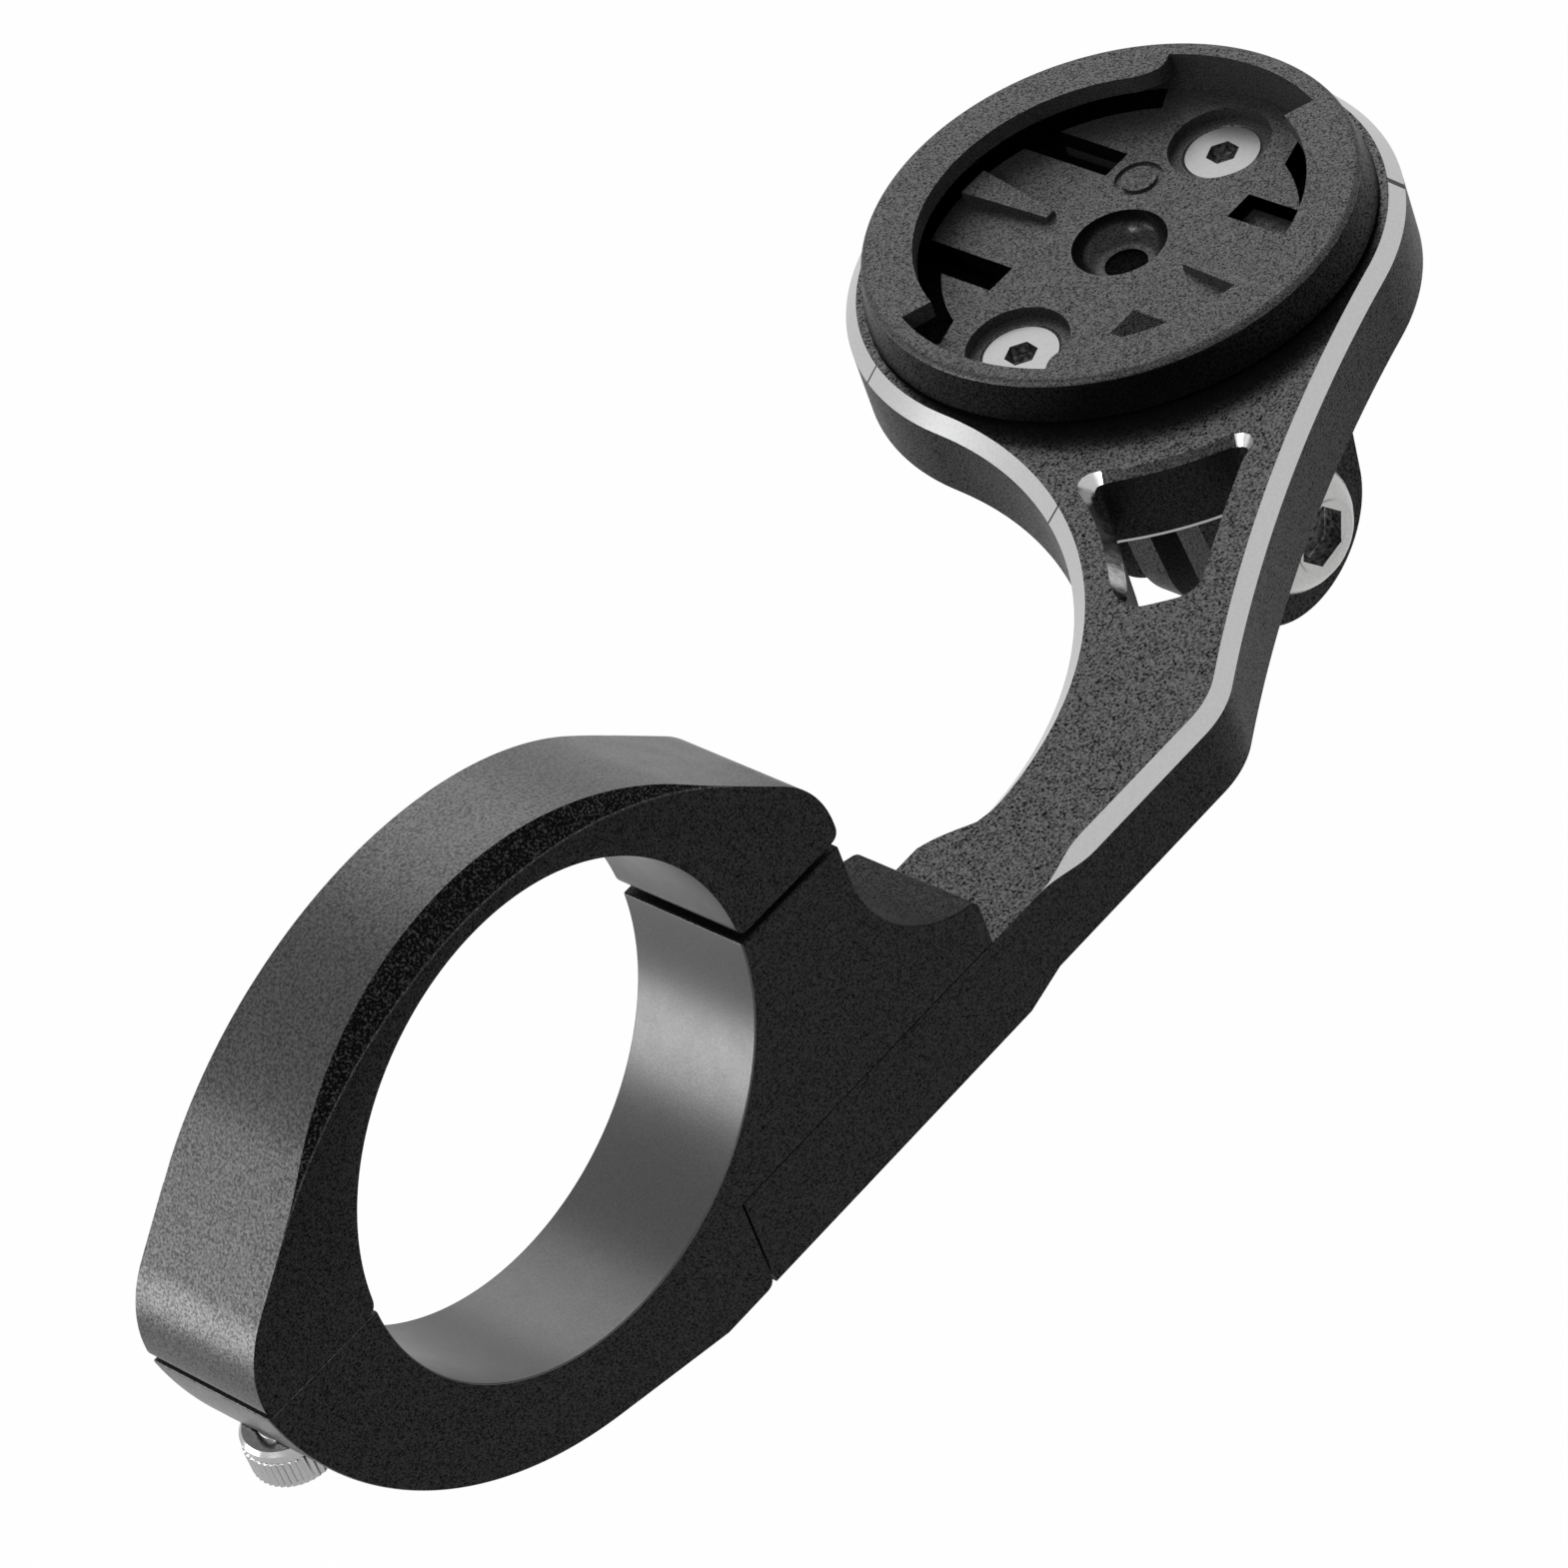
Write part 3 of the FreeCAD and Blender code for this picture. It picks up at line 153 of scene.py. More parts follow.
def build(name, points, faces, material=None, face_materials=None):
    """A mesh object from points in millimetres, merged and with its faces turned outwards."""
    mesh = bpy.data.meshes.new(name)
    mesh.from_pydata([Vector(p) * MM for p in points], [], faces)
    used = []
    for chosen in face_materials or [material] * len(faces):
        if chosen not in used:
            used.append(chosen)
            mesh.materials.append(chosen)
    if face_materials:
        for polygon, chosen in zip(mesh.polygons, face_materials):
            polygon.material_index = used.index(chosen)
    made = bmesh.new()
    made.from_mesh(mesh)
    bmesh.ops.remove_doubles(made, verts=made.verts, dist=1e-8)
    bmesh.ops.dissolve_degenerate(made, edges=made.edges, dist=1e-8)
    bmesh.ops.recalc_face_normals(made, faces=made.faces)
    made.to_mesh(mesh)
    made.free()
    obj = bpy.data.objects.new(name, mesh)
    bpy.context.scene.collection.objects.link(obj)
    return obj


def loft(name, rings, materials):
    """A closed solid through rings of equal length; one material for each band, then for both ends."""
    count = len(rings[0])
    points = [p for ring in rings for p in ring]
    faces, chosen = [], []
    for band in range(len(rings) - 1):
        for i in range(count):
            j = (i + 1) % count
            low, high = band * count, (band + 1) * count
            faces.append([low + i, low + j, high + j, high + i])
            chosen.append(materials[band])
    top = (len(rings) - 1) * count
    faces += [list(range(count)), [top + i for i in range(count)]]
    chosen += [materials[-2], materials[-1]]
    return build(name, points, faces, face_materials=chosen)


AXES = {
    "XY": lambda a, b, h: (a, b, h),
    "XZ": lambda a, b, h: (a, h, b),
}


def prism(name, outline, low, high, plane, side, ends=None):
    """A straight solid over an outline in the XY or the XZ plane."""
    at = AXES[plane]
    rings = [[at(p[0], p[1], level) for p in outline] for level in (low, high)]
    return loft(name, rings, [side, ends or side, ends or side])


def lathe(name, profile, material, centre=(0, 0, 0), along="Z", steps=128):
    """Turns a closed profile of (radius, height) round an axis through a point."""
    points, faces = [], []
    for step in range(steps):
        turn = 2 * math.pi * step / steps
        for radius, height in profile:
            across, up = radius * math.cos(turn), radius * math.sin(turn)
            offset = (across, up, height) if along == "Z" else (across, height, up)
            points.append(tuple(c + o for c, o in zip(centre, offset)))
    count = len(profile)
    for step in range(steps):
        here, following = step * count, (step + 1) % steps * count
        for i in range(count):
            j = (i + 1) % count
            if profile[i][0] or profile[j][0]:
                faces.append([here + i, here + j, following + j, following + i])
    return build(name, points, faces, material)


def combine(obj, tool, operation="DIFFERENCE"):
    """Cuts the tool from the object, or joins it on, and keeps each one's materials."""
    boolean = obj.modifiers.new("Combine", "BOOLEAN")
    boolean.object = tool
    boolean.operation = operation
    boolean.solver = "EXACT"
    boolean.material_mode = "TRANSFER"
    graph = bpy.context.evaluated_depsgraph_get()
    mesh = bpy.data.meshes.new_from_object(obj.evaluated_get(graph))
    obj.modifiers.clear()
    obj.data = mesh
    bpy.data.objects.remove(tool)
    return obj


def drill(obj, name, radius, start, end, material, centre, along="Z", steps=32):
    """Cuts a plain round hole from one height to another."""
    profile = [(0, start), (radius, start), (radius, end), (0, end)]
    return combine(obj, lathe(name, profile, material, centre, along, steps))


def place_piece(obj, body, node, edge, angle=30, clamped=True):
    """Softens the edges of a finished piece and lets it stand for its CAD node."""
    obj.data.shade_smooth()
    obj.data.set_sharp_from_angle(angle=math.radians(SHARP_ANGLE))
    bevel = obj.modifiers.new("Edges", "BEVEL")
    bevel.width = edge * MM
    bevel.segments = 3
    bevel.limit_method = "ANGLE"
    bevel.angle_limit = math.radians(angle)
    bevel.harden_normals = True
    bevel.miter_outer = "MITER_ARC"
    bevel.use_clamp_overlap = clamped
    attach(obj, body)
    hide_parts(node)
    return obj


# Materials

class Shader:
    """A small helper that adds nodes to one material."""

    def __init__(self, name):
        self.material = bpy.data.materials.new(name)
        self.material.use_nodes = True
        self.tree = self.material.node_tree
        self.surface = self.tree.nodes["Principled BSDF"]
        self.place = self.add("ShaderNodeTexCoord").outputs["Object"]

    def add(self, kind, **values):
        node = self.tree.nodes.new(kind)
        for key, value in values.items():
            node.inputs[key].default_value = value
        return node

    def link(self, source, target):
        self.tree.links.new(source, target)

    def noise(self, size, detail=2.0):
        """Noise whose features are about a size in millimetres."""
        node = self.add("ShaderNodeTexNoise", Scale=1 / (size * MM), Detail=detail, Roughness=0.5)
        self.link(self.place, node.inputs["Vector"])
        return node.outputs["Fac"]

    def ramp(self, value, stops):
        """Turns a value into shades, each stop a position with a grey or a colour."""
        node = self.add("ShaderNodeValToRGB")
        while len(node.color_ramp.elements) < len(stops):
            node.color_ramp.elements.new(0.5)
        for element, (position, shade) in zip(node.color_ramp.elements, stops):
            element.position = position
            colour = (shade, shade, shade) if isinstance(shade, (int, float)) else shade
            element.color = (*colour, 1)
        self.link(value, node.inputs["Fac"])
        return node.outputs["Color"]

    def bump(self, height, depth):
        """A normal raised by a height, over a depth in millimetres."""
        node = self.add("ShaderNodeBump", Strength=1.0, Distance=depth * MM)
        self.link(height, node.inputs["Height"])
        return node.outputs["Normal"]


def anodised(name, dark, light, roughness, grain, depth, glints, share=(0.33, 0.67)):
    """A black grained surface, anodised or moulded, whose peaks reflect more than its hollows.

    Grain and depth are in millimetres. Dark and light are its two tones, glints the reflection in the
    hollows and on the peaks, and share the part of the noise over which one goes into the other.
    """
    shader = Shader(name)
    grains = shader.noise(grain, detail=1.5)
    tone = shader.ramp(shader.noise(grain * 0.8), [(0.35, dark), (0.65, light)])
    shader.link(tone, shader.surface.inputs["Base Color"])
    peaks = shader.ramp(grains, list(zip(share, glints)))
    shader.link(peaks, shader.surface.inputs["Specular IOR Level"])
    rough = shader.ramp(shader.noise(grain * 12), [(0.3, roughness - 0.02), (0.7, roughness + 0.02)])
    shader.link(rough, shader.surface.inputs["Roughness"])
    shader.link(shader.bump(grains, depth), shader.surface.inputs["Normal"])
    return shader.material


def steel(name, colour, roughness, scratch=0.10, depth=0.001, dull=0.93):
    """Bare metal with a fine hairline relief, down to a dull share of its colour in the hollows."""
    shader = Shader(name)
    shader.surface.inputs["Metallic"].default_value = 1.0
    shades = [tuple(c * k for c in colour) for k in (dull, 1.0)]
    tone = shader.ramp(shader.noise(scratch * 2, detail=3.0), [(0.35, shades[0]), (0.62, shades[1])])
    shader.link(tone, shader.surface.inputs["Base Color"])
    rough = shader.ramp(shader.noise(scratch), [(0.3, roughness - 0.03), (0.7, roughness + 0.03)])
    shader.link(rough, shader.surface.inputs["Roughness"])
    shader.link(shader.bump(shader.noise(scratch, detail=3.0), depth), shader.surface.inputs["Normal"])
    return shader.material


band = anodised("anodised_band", dark=0.005, light=0.014, roughness=0.36,
                grain=0.17, depth=0.012, glints=(0.25, 0.85))
crescent = anodised("anodised_crescent", dark=0.001, light=0.004, roughness=0.36,
                    grain=0.15, depth=0.02, glints=(0.02, 0.60), share=(0.50, 0.76))
# Darker, less glossy copy of the band's coat: painted shade on the flat sides and in the holes
flank_painted_shade = anodised("anodised_flank_painted_shade", dark=0.003, light=0.009, roughness=0.5,
                 grain=0.13, depth=0.006, glints=(0.0, 0.22))
# Lighter, glinting coat for the thin ring between crescent and side: a painted highlight
edge_painted_highlight = anodised("anodised_edge_painted_highlight", dark=0.02, light=0.05, roughness=0.4,
                     grain=0.12, depth=0.006, glints=(0.05, 0.9), share=(0.46, 0.74))
bore = anodised("anodised_bore", dark=0.010, light=0.014, roughness=0.34,
                grain=0.13, depth=0.002, glints=(0.64, 0.84))
arm_top = anodised("anodised_arm_top", dark=0.002, light=0.005, roughness=0.22,
                   grain=0.16, depth=0.005, glints=(0.0, 0.54))
# Darker, duller copy of the arm's coat: painted shade on its sides, on the clamp's block and on the window's
# walls
arm_side_painted_shade = anodised("anodised_arm_side_painted_shade", dark=0.003, light=0.010, roughness=0.42,
                    grain=0.13, depth=0.004, glints=(0.0, 0.18))
arm_under = anodised("anodised_arm_under", dark=0.012, light=0.024, roughness=0.5,
                     grain=0.16, depth=0.010, glints=(0.10, 0.50))
dull_edge = anodised("anodised_window_edge", dark=0.006, light=0.016, roughness=0.5,
                     grain=0.16, depth=0.016, glints=(0.05, 0.75))
# Near-black coat for the recess below the insert, seen through its centre hole: painted shade
recess_painted_shade = anodised("anodised_recess_painted_shade", dark=0.001, light=0.003, roughness=0.6,
                  grain=0.20, depth=0.004, glints=(0.0, 0.05))
machined = steel("machined_edge", (0.50, 0.50, 0.505), 0.30)
machined_mark = steel("machined_blend_mark", (0.06, 0.06, 0.06), 0.45)
polished = steel("polished_window_edge", (0.55, 0.55, 0.55), 0.18, scratch=0.50, depth=0.010, dull=0.5)
plastic = anodised("moulded_insert", dark=0.012, light=0.032, roughness=0.46,
                   grain=0.13, depth=0.016, glints=(0.0, 0.70))
# Near-black copy of the insert's plastic: painted shade on its outer wall and in its openings, run-outs and
# slots
plastic_wall_painted_shade = anodised("moulded_insert_wall_painted_shade", dark=0.001, light=0.003, roughness=0.34,
                        grain=0.15, depth=0.008, glints=(0.0, 0.10))
# Dark, glossy copy of the insert's plastic for the bowl of the centre hole: painted shade in the hole
plastic_bowl_painted_shade = anodised("moulded_insert_bowl_painted_shade", dark=0.002, light=0.006, roughness=0.26,
                        grain=0.15, depth=0.002, glints=(0.10, 0.40))
lug_metal = anodised("anodised_lug", dark=0.004, light=0.010, roughness=0.45,
                     grain=0.14, depth=0.004, glints=(0.0, 0.22))
bright_steel = steel("bright_screw_steel", (0.40, 0.40, 0.40), 0.24)
satin_steel = steel("satin_screw_steel", (0.215, 0.215, 0.214), 0.30)
bolt_metal = steel("bolt_head_steel", (0.46, 0.46, 0.455), 0.30, dull=0.88)
socket_dark = steel("socket_steel", (0.30, 0.30, 0.30), 0.3, scratch=0.16, depth=0.02, dull=0.15)


# Clamp

def between_flanks(material):
    """The room above the bar between the middles of the two flanks, where the crescents end."""
    corners = [Vector(p) for p in ((-CRESCENT_END, 2), (CRESCENT_END, 2), (CRESCENT_END, 40),
                                   (-CRESCENT_END, 40))]
    return prism("between_flanks", corners, -10, 10, "XZ", material)


def cut_crescents(cap):
    """On each side a cone cuts the crescent, and a steep one cuts a thin light ring where it meets the side,
    coloured as a painted highlight.
    """
    beyond = HALF_WIDTH + 1
    high = BEVEL_RADIUS + BEVEL_SLOPE * HALF_WIDTH
    line_radius, line_slope, outer = BEVEL_RADIUS - 0.07, 2.6, BEVEL_RADIUS + 20
    axis = (0, 0, -BEVEL_DROP)
    for turn in (1, -1):
        profile = [(BEVEL_RADIUS - BEVEL_SLOPE, turn * beyond), (high, turn * beyond), (high, 0)]
        tool = lathe("bevel_tool", profile, crescent, axis, "Y", 240)
        combine(cap, combine(tool, between_flanks(crescent), "INTERSECT"))
        profile = [(line_radius - line_slope, turn * beyond), (line_radius + line_slope * HALF_WIDTH, 0),
                   (outer, 0), (outer, turn * beyond)]
        tool = lathe("edge_tool", profile, edge_painted_highlight, axis, "Y", 240)
        combine(cap, combine(tool, between_flanks(edge_painted_highlight), "INTERSECT"))


def clamp_cap():
    """The upper half: crown, flanks and shoulders outside, the bore inside, a crescent on each side."""
    side = LUG_REACH - SHOULDER_RADIUS
    gap = Vector((side, SHOULDER_LEVEL - CROWN_LEVEL))
    slope = math.degrees(math.atan2(gap.x, gap.y) - math.acos((CROWN_RADIUS - SHOULDER_RADIUS) / gap.length))
    outline = [Vector((LUG_REACH, CAP_BASE))]
    outline += arc((side, SHOULDER_LEVEL), SHOULDER_RADIUS, 0, 90 - slope, 3)
    outline += arc((0, CROWN_LEVEL), CROWN_RADIUS, 90 - slope, 90 + slope, 0.8)
    outline += arc((-side, SHOULDER_LEVEL), SHOULDER_RADIUS, 90 + slope, 180, 3)
    outline += [Vector((-LUG_REACH, CAP_BASE))]
    rise = math.degrees(math.asin(CAP_BASE / BAR_RADIUS))
    outline += arc((0, 0), BAR_RADIUS, 180 - rise, rise, 1.0)
    for spot, reach in (((-LUG_REACH, CAP_BASE), 0.8), ((LUG_REACH, CAP_BASE), 0.8),
                        ((-BAR_RADIUS, CAP_BASE), 0.9), ((BAR_RADIUS, CAP_BASE), 0.9)):
        outline = round_corner(outline, spot, reach)
    # The flat sides get the darker coat, which is painted shade
    cap = prism("clamp_cap_piece", outline, -HALF_WIDTH, HALF_WIDTH, "XZ", band, flank_painted_shade)
    cap.data.materials.append(bore)
    inside = len(cap.data.materials) - 1
    for polygon in cap.data.polygons:
        middle = polygon.center / MM
        if abs(polygon.normal.y) < 0.5 and math.hypot(middle.x, middle.z) < BAR_RADIUS + 0.01:
            polygon.material_index = inside
    cut_crescents(cap)
    for reach in (REAR_SCREW, FRONT_SCREW):
        drill(cap, "tap_tool", THREAD_HOLE, -1, 4.65, flank_painted_shade, (reach, 0, 0))
    return place_piece(cap, "cap", "clamp_cap", edge=0.12)


def clamp_base():
    """The lower half: belly, toe and step below, the forward block with its scoop, the bore inside."""
    exit_bearing = 270 - BELLY_EXIT
    start = bearing(BELLY_CENTRE, (-LUG_REACH, -CAP_BASE)) % 360
    join = arc(BELLY_CENTRE, BELLY_RADIUS, exit_bearing, exit_bearing + 1)[0]
    toe_start = Vector((join.x + (join.y - TOE) / math.tan(math.radians(BELLY_EXIT)), TOE))
    scoop_centre = (BLOCK_NECK + SCOOP_RADIUS, SCOOP_LEVEL)
    scoop_turn = math.degrees(math.acos((scoop_centre[0] - BLOCK_FRONT) / SCOOP_RADIUS))
    outline = arc(BELLY_CENTRE, BELLY_RADIUS, start, exit_bearing, 1.0)
    outline += [toe_start, Vector((STEP, TOE)), Vector((STEP, SEAT)), Vector((BLOCK_FRONT, SEAT))]
    scoop = arc(scoop_centre, SCOOP_RADIUS, 180 + scoop_turn, 180, 2.5)
    nose = scoop[0]
    outline += scoop + [Vector((BLOCK_NECK, -FRONT_SPLIT))]
    front_fall = math.degrees(math.asin(FRONT_SPLIT / BAR_RADIUS))
    rear_fall = math.degrees(math.asin(CAP_BASE / BAR_RADIUS))
    outline += arc((0, 0), BAR_RADIUS, -front_fall, rear_fall - 180, 1.0)
    outline = round_corner(outline, (STEP, TOE), 0.8)
    outline = round_corner(outline, nose, 0.9)
    # The flat sides get the darker coat, which is painted shade
    base = prism("clamp_base_piece", outline, -HALF_WIDTH, HALF_WIDTH, "XZ", band, flank_painted_shade)
    base.data.materials.append(bore)
    base.data.materials.append(arm_side_painted_shade)
    inside = len(base.data.materials) - 2
    block = inside + 1
    for polygon in base.data.polygons:
        middle = polygon.center / MM
        if abs(polygon.normal.y) < 0.5:
            if math.hypot(middle.x, middle.z) < BAR_RADIUS + 0.01:
                polygon.material_index = inside
            # The block's faces get the arm's darker side coat, which is painted shade
            elif middle.x > STEP + 1:
                polygon.material_index = block
    drill(base, "spot_tool", 3.25, LUG_SEAT, -30, flank_painted_shade, (REAR_SCREW, 0, 0), steps=64)
    for reach, radius, low, high in ((REAR_SCREW, SCREW_HOLE, -7, 1), (FRONT_SCREW, SCREW_HOLE, -18, 1),
                                     (ARM_SCREW, THREAD_HOLE, -18, -11.7)):
        drill(base, "hole_tool", radius, low, high, flank_painted_shade, (reach, 0, 0))
    return place_piece(base, "mount", "clamp_base", edge=0.15, clamped=False)


# Arm

# Blend marks on the machined edge: the nearest spot and how many facets
MARKS = [(Vector((99.6, 15.6)), 3), (Vector((69.6, 37.8)), 1), (Vector((63.7, 17.3)), 1)]


def arm_outline():
    """The arm from above, from the near rear corner forwards, round the head and back."""
    bend_y = BEND_RADIUS - HALF_WIDTH
    across = bend_y - RIGHT_CENTRE.y
    bend_x = RIGHT_CENTRE.x - math.sqrt((RIGHT_RADIUS + BEND_RADIUS) ** 2 - across ** 2)
    bend = Vector((bend_x, bend_y))
    outline = [Vector((ARM_REAR, -HALF_WIDTH))]
    straight, steps = bend_x - NECK_START, 36
    outline += [Vector((NECK_START + straight * i / steps, -HALF_WIDTH)) for i in range(steps)]
    outline += arc(bend, BEND_RADIUS, -90, bearing(bend, RIGHT_CENTRE), 1.5)
    outline += arc(RIGHT_CENTRE, RIGHT_RADIUS, bearing(RIGHT_CENTRE, bend),
                   bearing(RIGHT_CENTRE, HEAD), 0.25)[1:]
    outline += arc(HEAD, HEAD_RADIUS, bearing(HEAD, RIGHT_CENTRE), bearing(HEAD, LEFT_CENTRE), 0.5)[1:]
    outline += arc(LEFT_CENTRE, LEFT_RADIUS, bearing(LEFT_CENTRE, HEAD), -90, 0.4)[1:]
    foot = outline[-1]
    outline += [foot.lerp(Vector((NECK_START, HALF_WIDTH)), i / 6) for i in range(1, 7)]
    outline += [Vector((ARM_REAR, HALF_WIDTH))]
    return outline


def smooth_step(value, low, high):
    """0 below low, 1 above high and a soft rise between."""
    t = min(1.0, max(0.0, (value - low) / (high - low)))
    return t * t * (3 - 2 * t)


def window_outline():
    """The window between two arcs about the head's centre and two about the flanks' centres."""
    right_rib, left_rib = RIGHT_RADIUS + RIGHT_RIB, LEFT_RADIUS + LEFT_RIB
    near_right = crossing(HEAD, WINDOW_NEAR, RIGHT_CENTRE, right_rib, -1)
    near_left = crossing(HEAD, WINDOW_NEAR, LEFT_CENTRE, left_rib, 1)
    far_left = crossing(HEAD, WINDOW_FAR, LEFT_CENTRE, left_rib, 1)
    far_right = crossing(HEAD, WINDOW_FAR, RIGHT_CENTRE, right_rib, -1)
    outline = arc(HEAD, WINDOW_NEAR, bearing(HEAD, near_left) % 360, bearing(HEAD, near_right) % 360, 1.0)
    outline += arc(RIGHT_CENTRE, right_rib, bearing(RIGHT_CENTRE, near_right),
                   bearing(RIGHT_CENTRE, far_right), 0.2)[1:]
    outline += arc(HEAD, WINDOW_FAR, bearing(HEAD, far_right) % 360, bearing(HEAD, far_left) % 360, 1.0)[1:]
    outline += arc(LEFT_CENTRE, left_rib, bearing(LEFT_CENTRE, far_left),
                   bearing(LEFT_CENTRE, near_left), 1.0)[1:-1]
    for corner, reach in ((near_right, 2.4), (near_left, 0.9), (far_left, 1.3), (far_right, 1.6)):
        outline = round_corner(outline, corner, reach)
    return anticlockwise(outline), near_right, near_left


def window_tool():
    """Cuts the window; its edge is broken on the head side and the left side, and bright at two corners."""
    hole, near_right, near_left = window_outline()
    normals = outward(hole)
    count = len(hole)
    middles = [(point + hole[(i + 1) % count]) / 2 for i, point in enumerate(hole)]

    def to_corner(point):
        return min((point - near_right).length - 0.6, (point - near_left).length)

    def from_left(point):
        return (point - LEFT_CENTRE).length - LEFT_RADIUS - LEFT_RIB

    narrow, head_side, left_side, corner = 0.02, 0.5, 0.9, 0.65
    widths, finishes = [], []
    for point, middle in zip(hole, middles):
        from_head = (point - HEAD).length
        wide = head_side if from_head < WINDOW_NEAR + 0.4 else narrow
        if from_left(point) < 0.3:
            wide = left_side * smooth_step(WINDOW_FAR - from_head, 0.6, 2.0) + narrow
        if to_corner(point) < 0.9:
            wide = max(wide, corner)
        widths.append(wide)
        beside = polished if from_left(middle) < 0.3 else dull_edge
        finishes.append(machined if to_corner(middle) < 0.85 else beside)
    for _ in range(3):
        widths = [(widths[i - 1] + widths[i] + widths[(i + 1) % count]) / 3 for i in range(count)]
    below = [p + n * 0.35 for p, n in zip(hole, normals)]
    rings = [[(p.x, p.y, -26) for p in below],
             [(p.x, p.y, ARM_UNDER) for p in below],
             [(p.x, p.y, ARM_UNDER + 0.5) for p in hole],
             [(p.x, p.y, SEAT - w) for p, w in zip(hole, widths)],
             [(p.x + n.x * 2 * w, p.y + n.y * 2 * w, SEAT + w) for p, n, w in zip(hole, normals, widths)]]
    # The window's walls get the arm's darker side coat, which is painted shade
    tool = loft("window_tool", rings, [arm_side_painted_shade, satin_steel, arm_side_painted_shade, dull_edge, arm_side_painted_shade, arm_side_painted_shade])
    for finish in (machined, polished):
        tool.data.materials.append(finish)
    names = [material.name for material in tool.data.materials]
    for polygon in tool.data.polygons:
        if 0.2 < abs(polygon.normal.z) < 0.95 and polygon.center.z / MM > SEAT - 1.5:
            spot = (polygon.center / MM).xy
            nearest = min(range(count), key=lambda i: (middles[i] - spot).length)
            polygon.material_index = names.index(finishes[nearest].name)
    return tool


def arm():
    """The arm with its machined edge, window, recess for the insert and sinks for its screws."""
    outline = arm_outline()
    normals = outward(outline)
    depths = [CHAMFER * smooth_step(p.x, NECK_START + 0.5, NECK_START + 5.5) for p in outline]
    inner = [p - n * d for p, n, d in zip(outline, normals, depths)]
    rings = [[(p.x, p.y, PAD_UNDER) for p in outline],
             [(p.x, p.y, SEAT - d) for p, d in zip(outline, depths)],
             [(p.x, p.y, SEAT) for p in inner]]
    # The arm's sides get the darker side coat, which is painted shade
    piece = loft("arm_piece", rings, [arm_side_painted_shade, machined, arm_under, arm_top])
    edge_slot = piece.data.materials.find(machined.name)
    mark_slot = len(piece.data.materials)
    piece.data.materials.append(machined_mark)
    edges = [polygon for polygon in piece.data.polygons if polygon.material_index == edge_slot]
    for spot, facets in MARKS:
        edges.sort(key=lambda polygon: ((polygon.center / MM).xy - spot).length)
        for polygon in edges[:facets]:
            polygon.material_index = mark_slot
    under = [Vector(p) for p in ((PAD_END, PAD_UNDER), (NECK_START, ARM_UNDER), (120, ARM_UNDER),
                                 (120, -26), (PAD_END, -26))]
    combine(piece, prism("under_tool", under, -20, 60, "XZ", arm_under))
    combine(piece, window_tool())
    # The recess is cut with the near-black coat, which is painted shade in the deep hole
    drill(piece, "recess_tool", RECESS_RADIUS, BOSS_BOTTOM, -10, recess_painted_shade, (HEAD.x, HEAD.y, 0), steps=128)
    for reach in (INSERT_SCREW, -INSERT_SCREW):
        drill(piece, "pass_tool", SCREW_HOLE, -30, -10, arm_under, (HEAD.x + reach, HEAD.y, 0), steps=48)
    for reach in (FRONT_SCREW, ARM_SCREW):
        sink = [(0, -30), (SINK_RADIUS, -30), (SINK_RADIUS, SINK_SEAT), (SCREW_HOLE, SINK_SEAT),
                (SCREW_HOLE, -10), (0, -10)]
        combine(piece, lathe("sink_tool", sink, arm_under, (reach, 0, 0), steps=64))
    return place_piece(piece, "mount", "arm", edge=0.15, angle=60)


# Quarter-turn insert

def sector(inner, outer, start, end):
    """A piece of a ring about the head's centre."""
    return arc((HEAD.x, HEAD.y), outer, start, end, 1.5) + arc((HEAD.x, HEAD.y), inner, end, start, 1.5)


def half_turned(points):
    """The same points on the other side of the head's centre."""
    return [Vector((2 * HEAD.x - p.x, 2 * HEAD.y - p.y)) for p in points]


def box_outline(low_x, low_y, high_x, high_y):
    """A rectangle measured from the head's centre."""
    corners = ((low_x, low_y), (high_x, low_y), (high_x, high_y), (low_x, high_y))
    return [Vector((HEAD.x + x, HEAD.y + y)) for x, y in corners]


def insert_profile():
    """The turned section: foot, shadow gap, rim, lip, cavity and the bowl of the centre hole."""
    rim_radius, rounding = 17.05, 0.55
    rim = [(rim_radius - rounding + rounding * math.cos(a), INSERT_TOP - rounding + rounding * math.sin(a))
           for a in [math.radians(90 * i / 8) for i in range(9)]]
    hole, bowl_width, bowl_depth = 1.5, 1.8, 1.9
    mouth = [(hole + bowl_width * math.cos(a), INSERT_FLOOR - bowl_depth * math.sin(a))
             for a in [math.radians(90 * i / 10) for i in range(11)]]
    foot = [(hole, BOSS_BOTTOM), (16.6, BOSS_BOTTOM), (16.6, SEAT), (17.1, SEAT), (17.1, SEAT + 0.35),
            (17.55, SEAT + 0.35)]
    return foot + rim + [(LIP_RADIUS, INSERT_TOP), (LIP_RADIUS, LIP_BOTTOM), (CAVITY_RADIUS, LIP_BOTTOM),
                         (CAVITY_RADIUS, INSERT_FLOOR)] + mouth


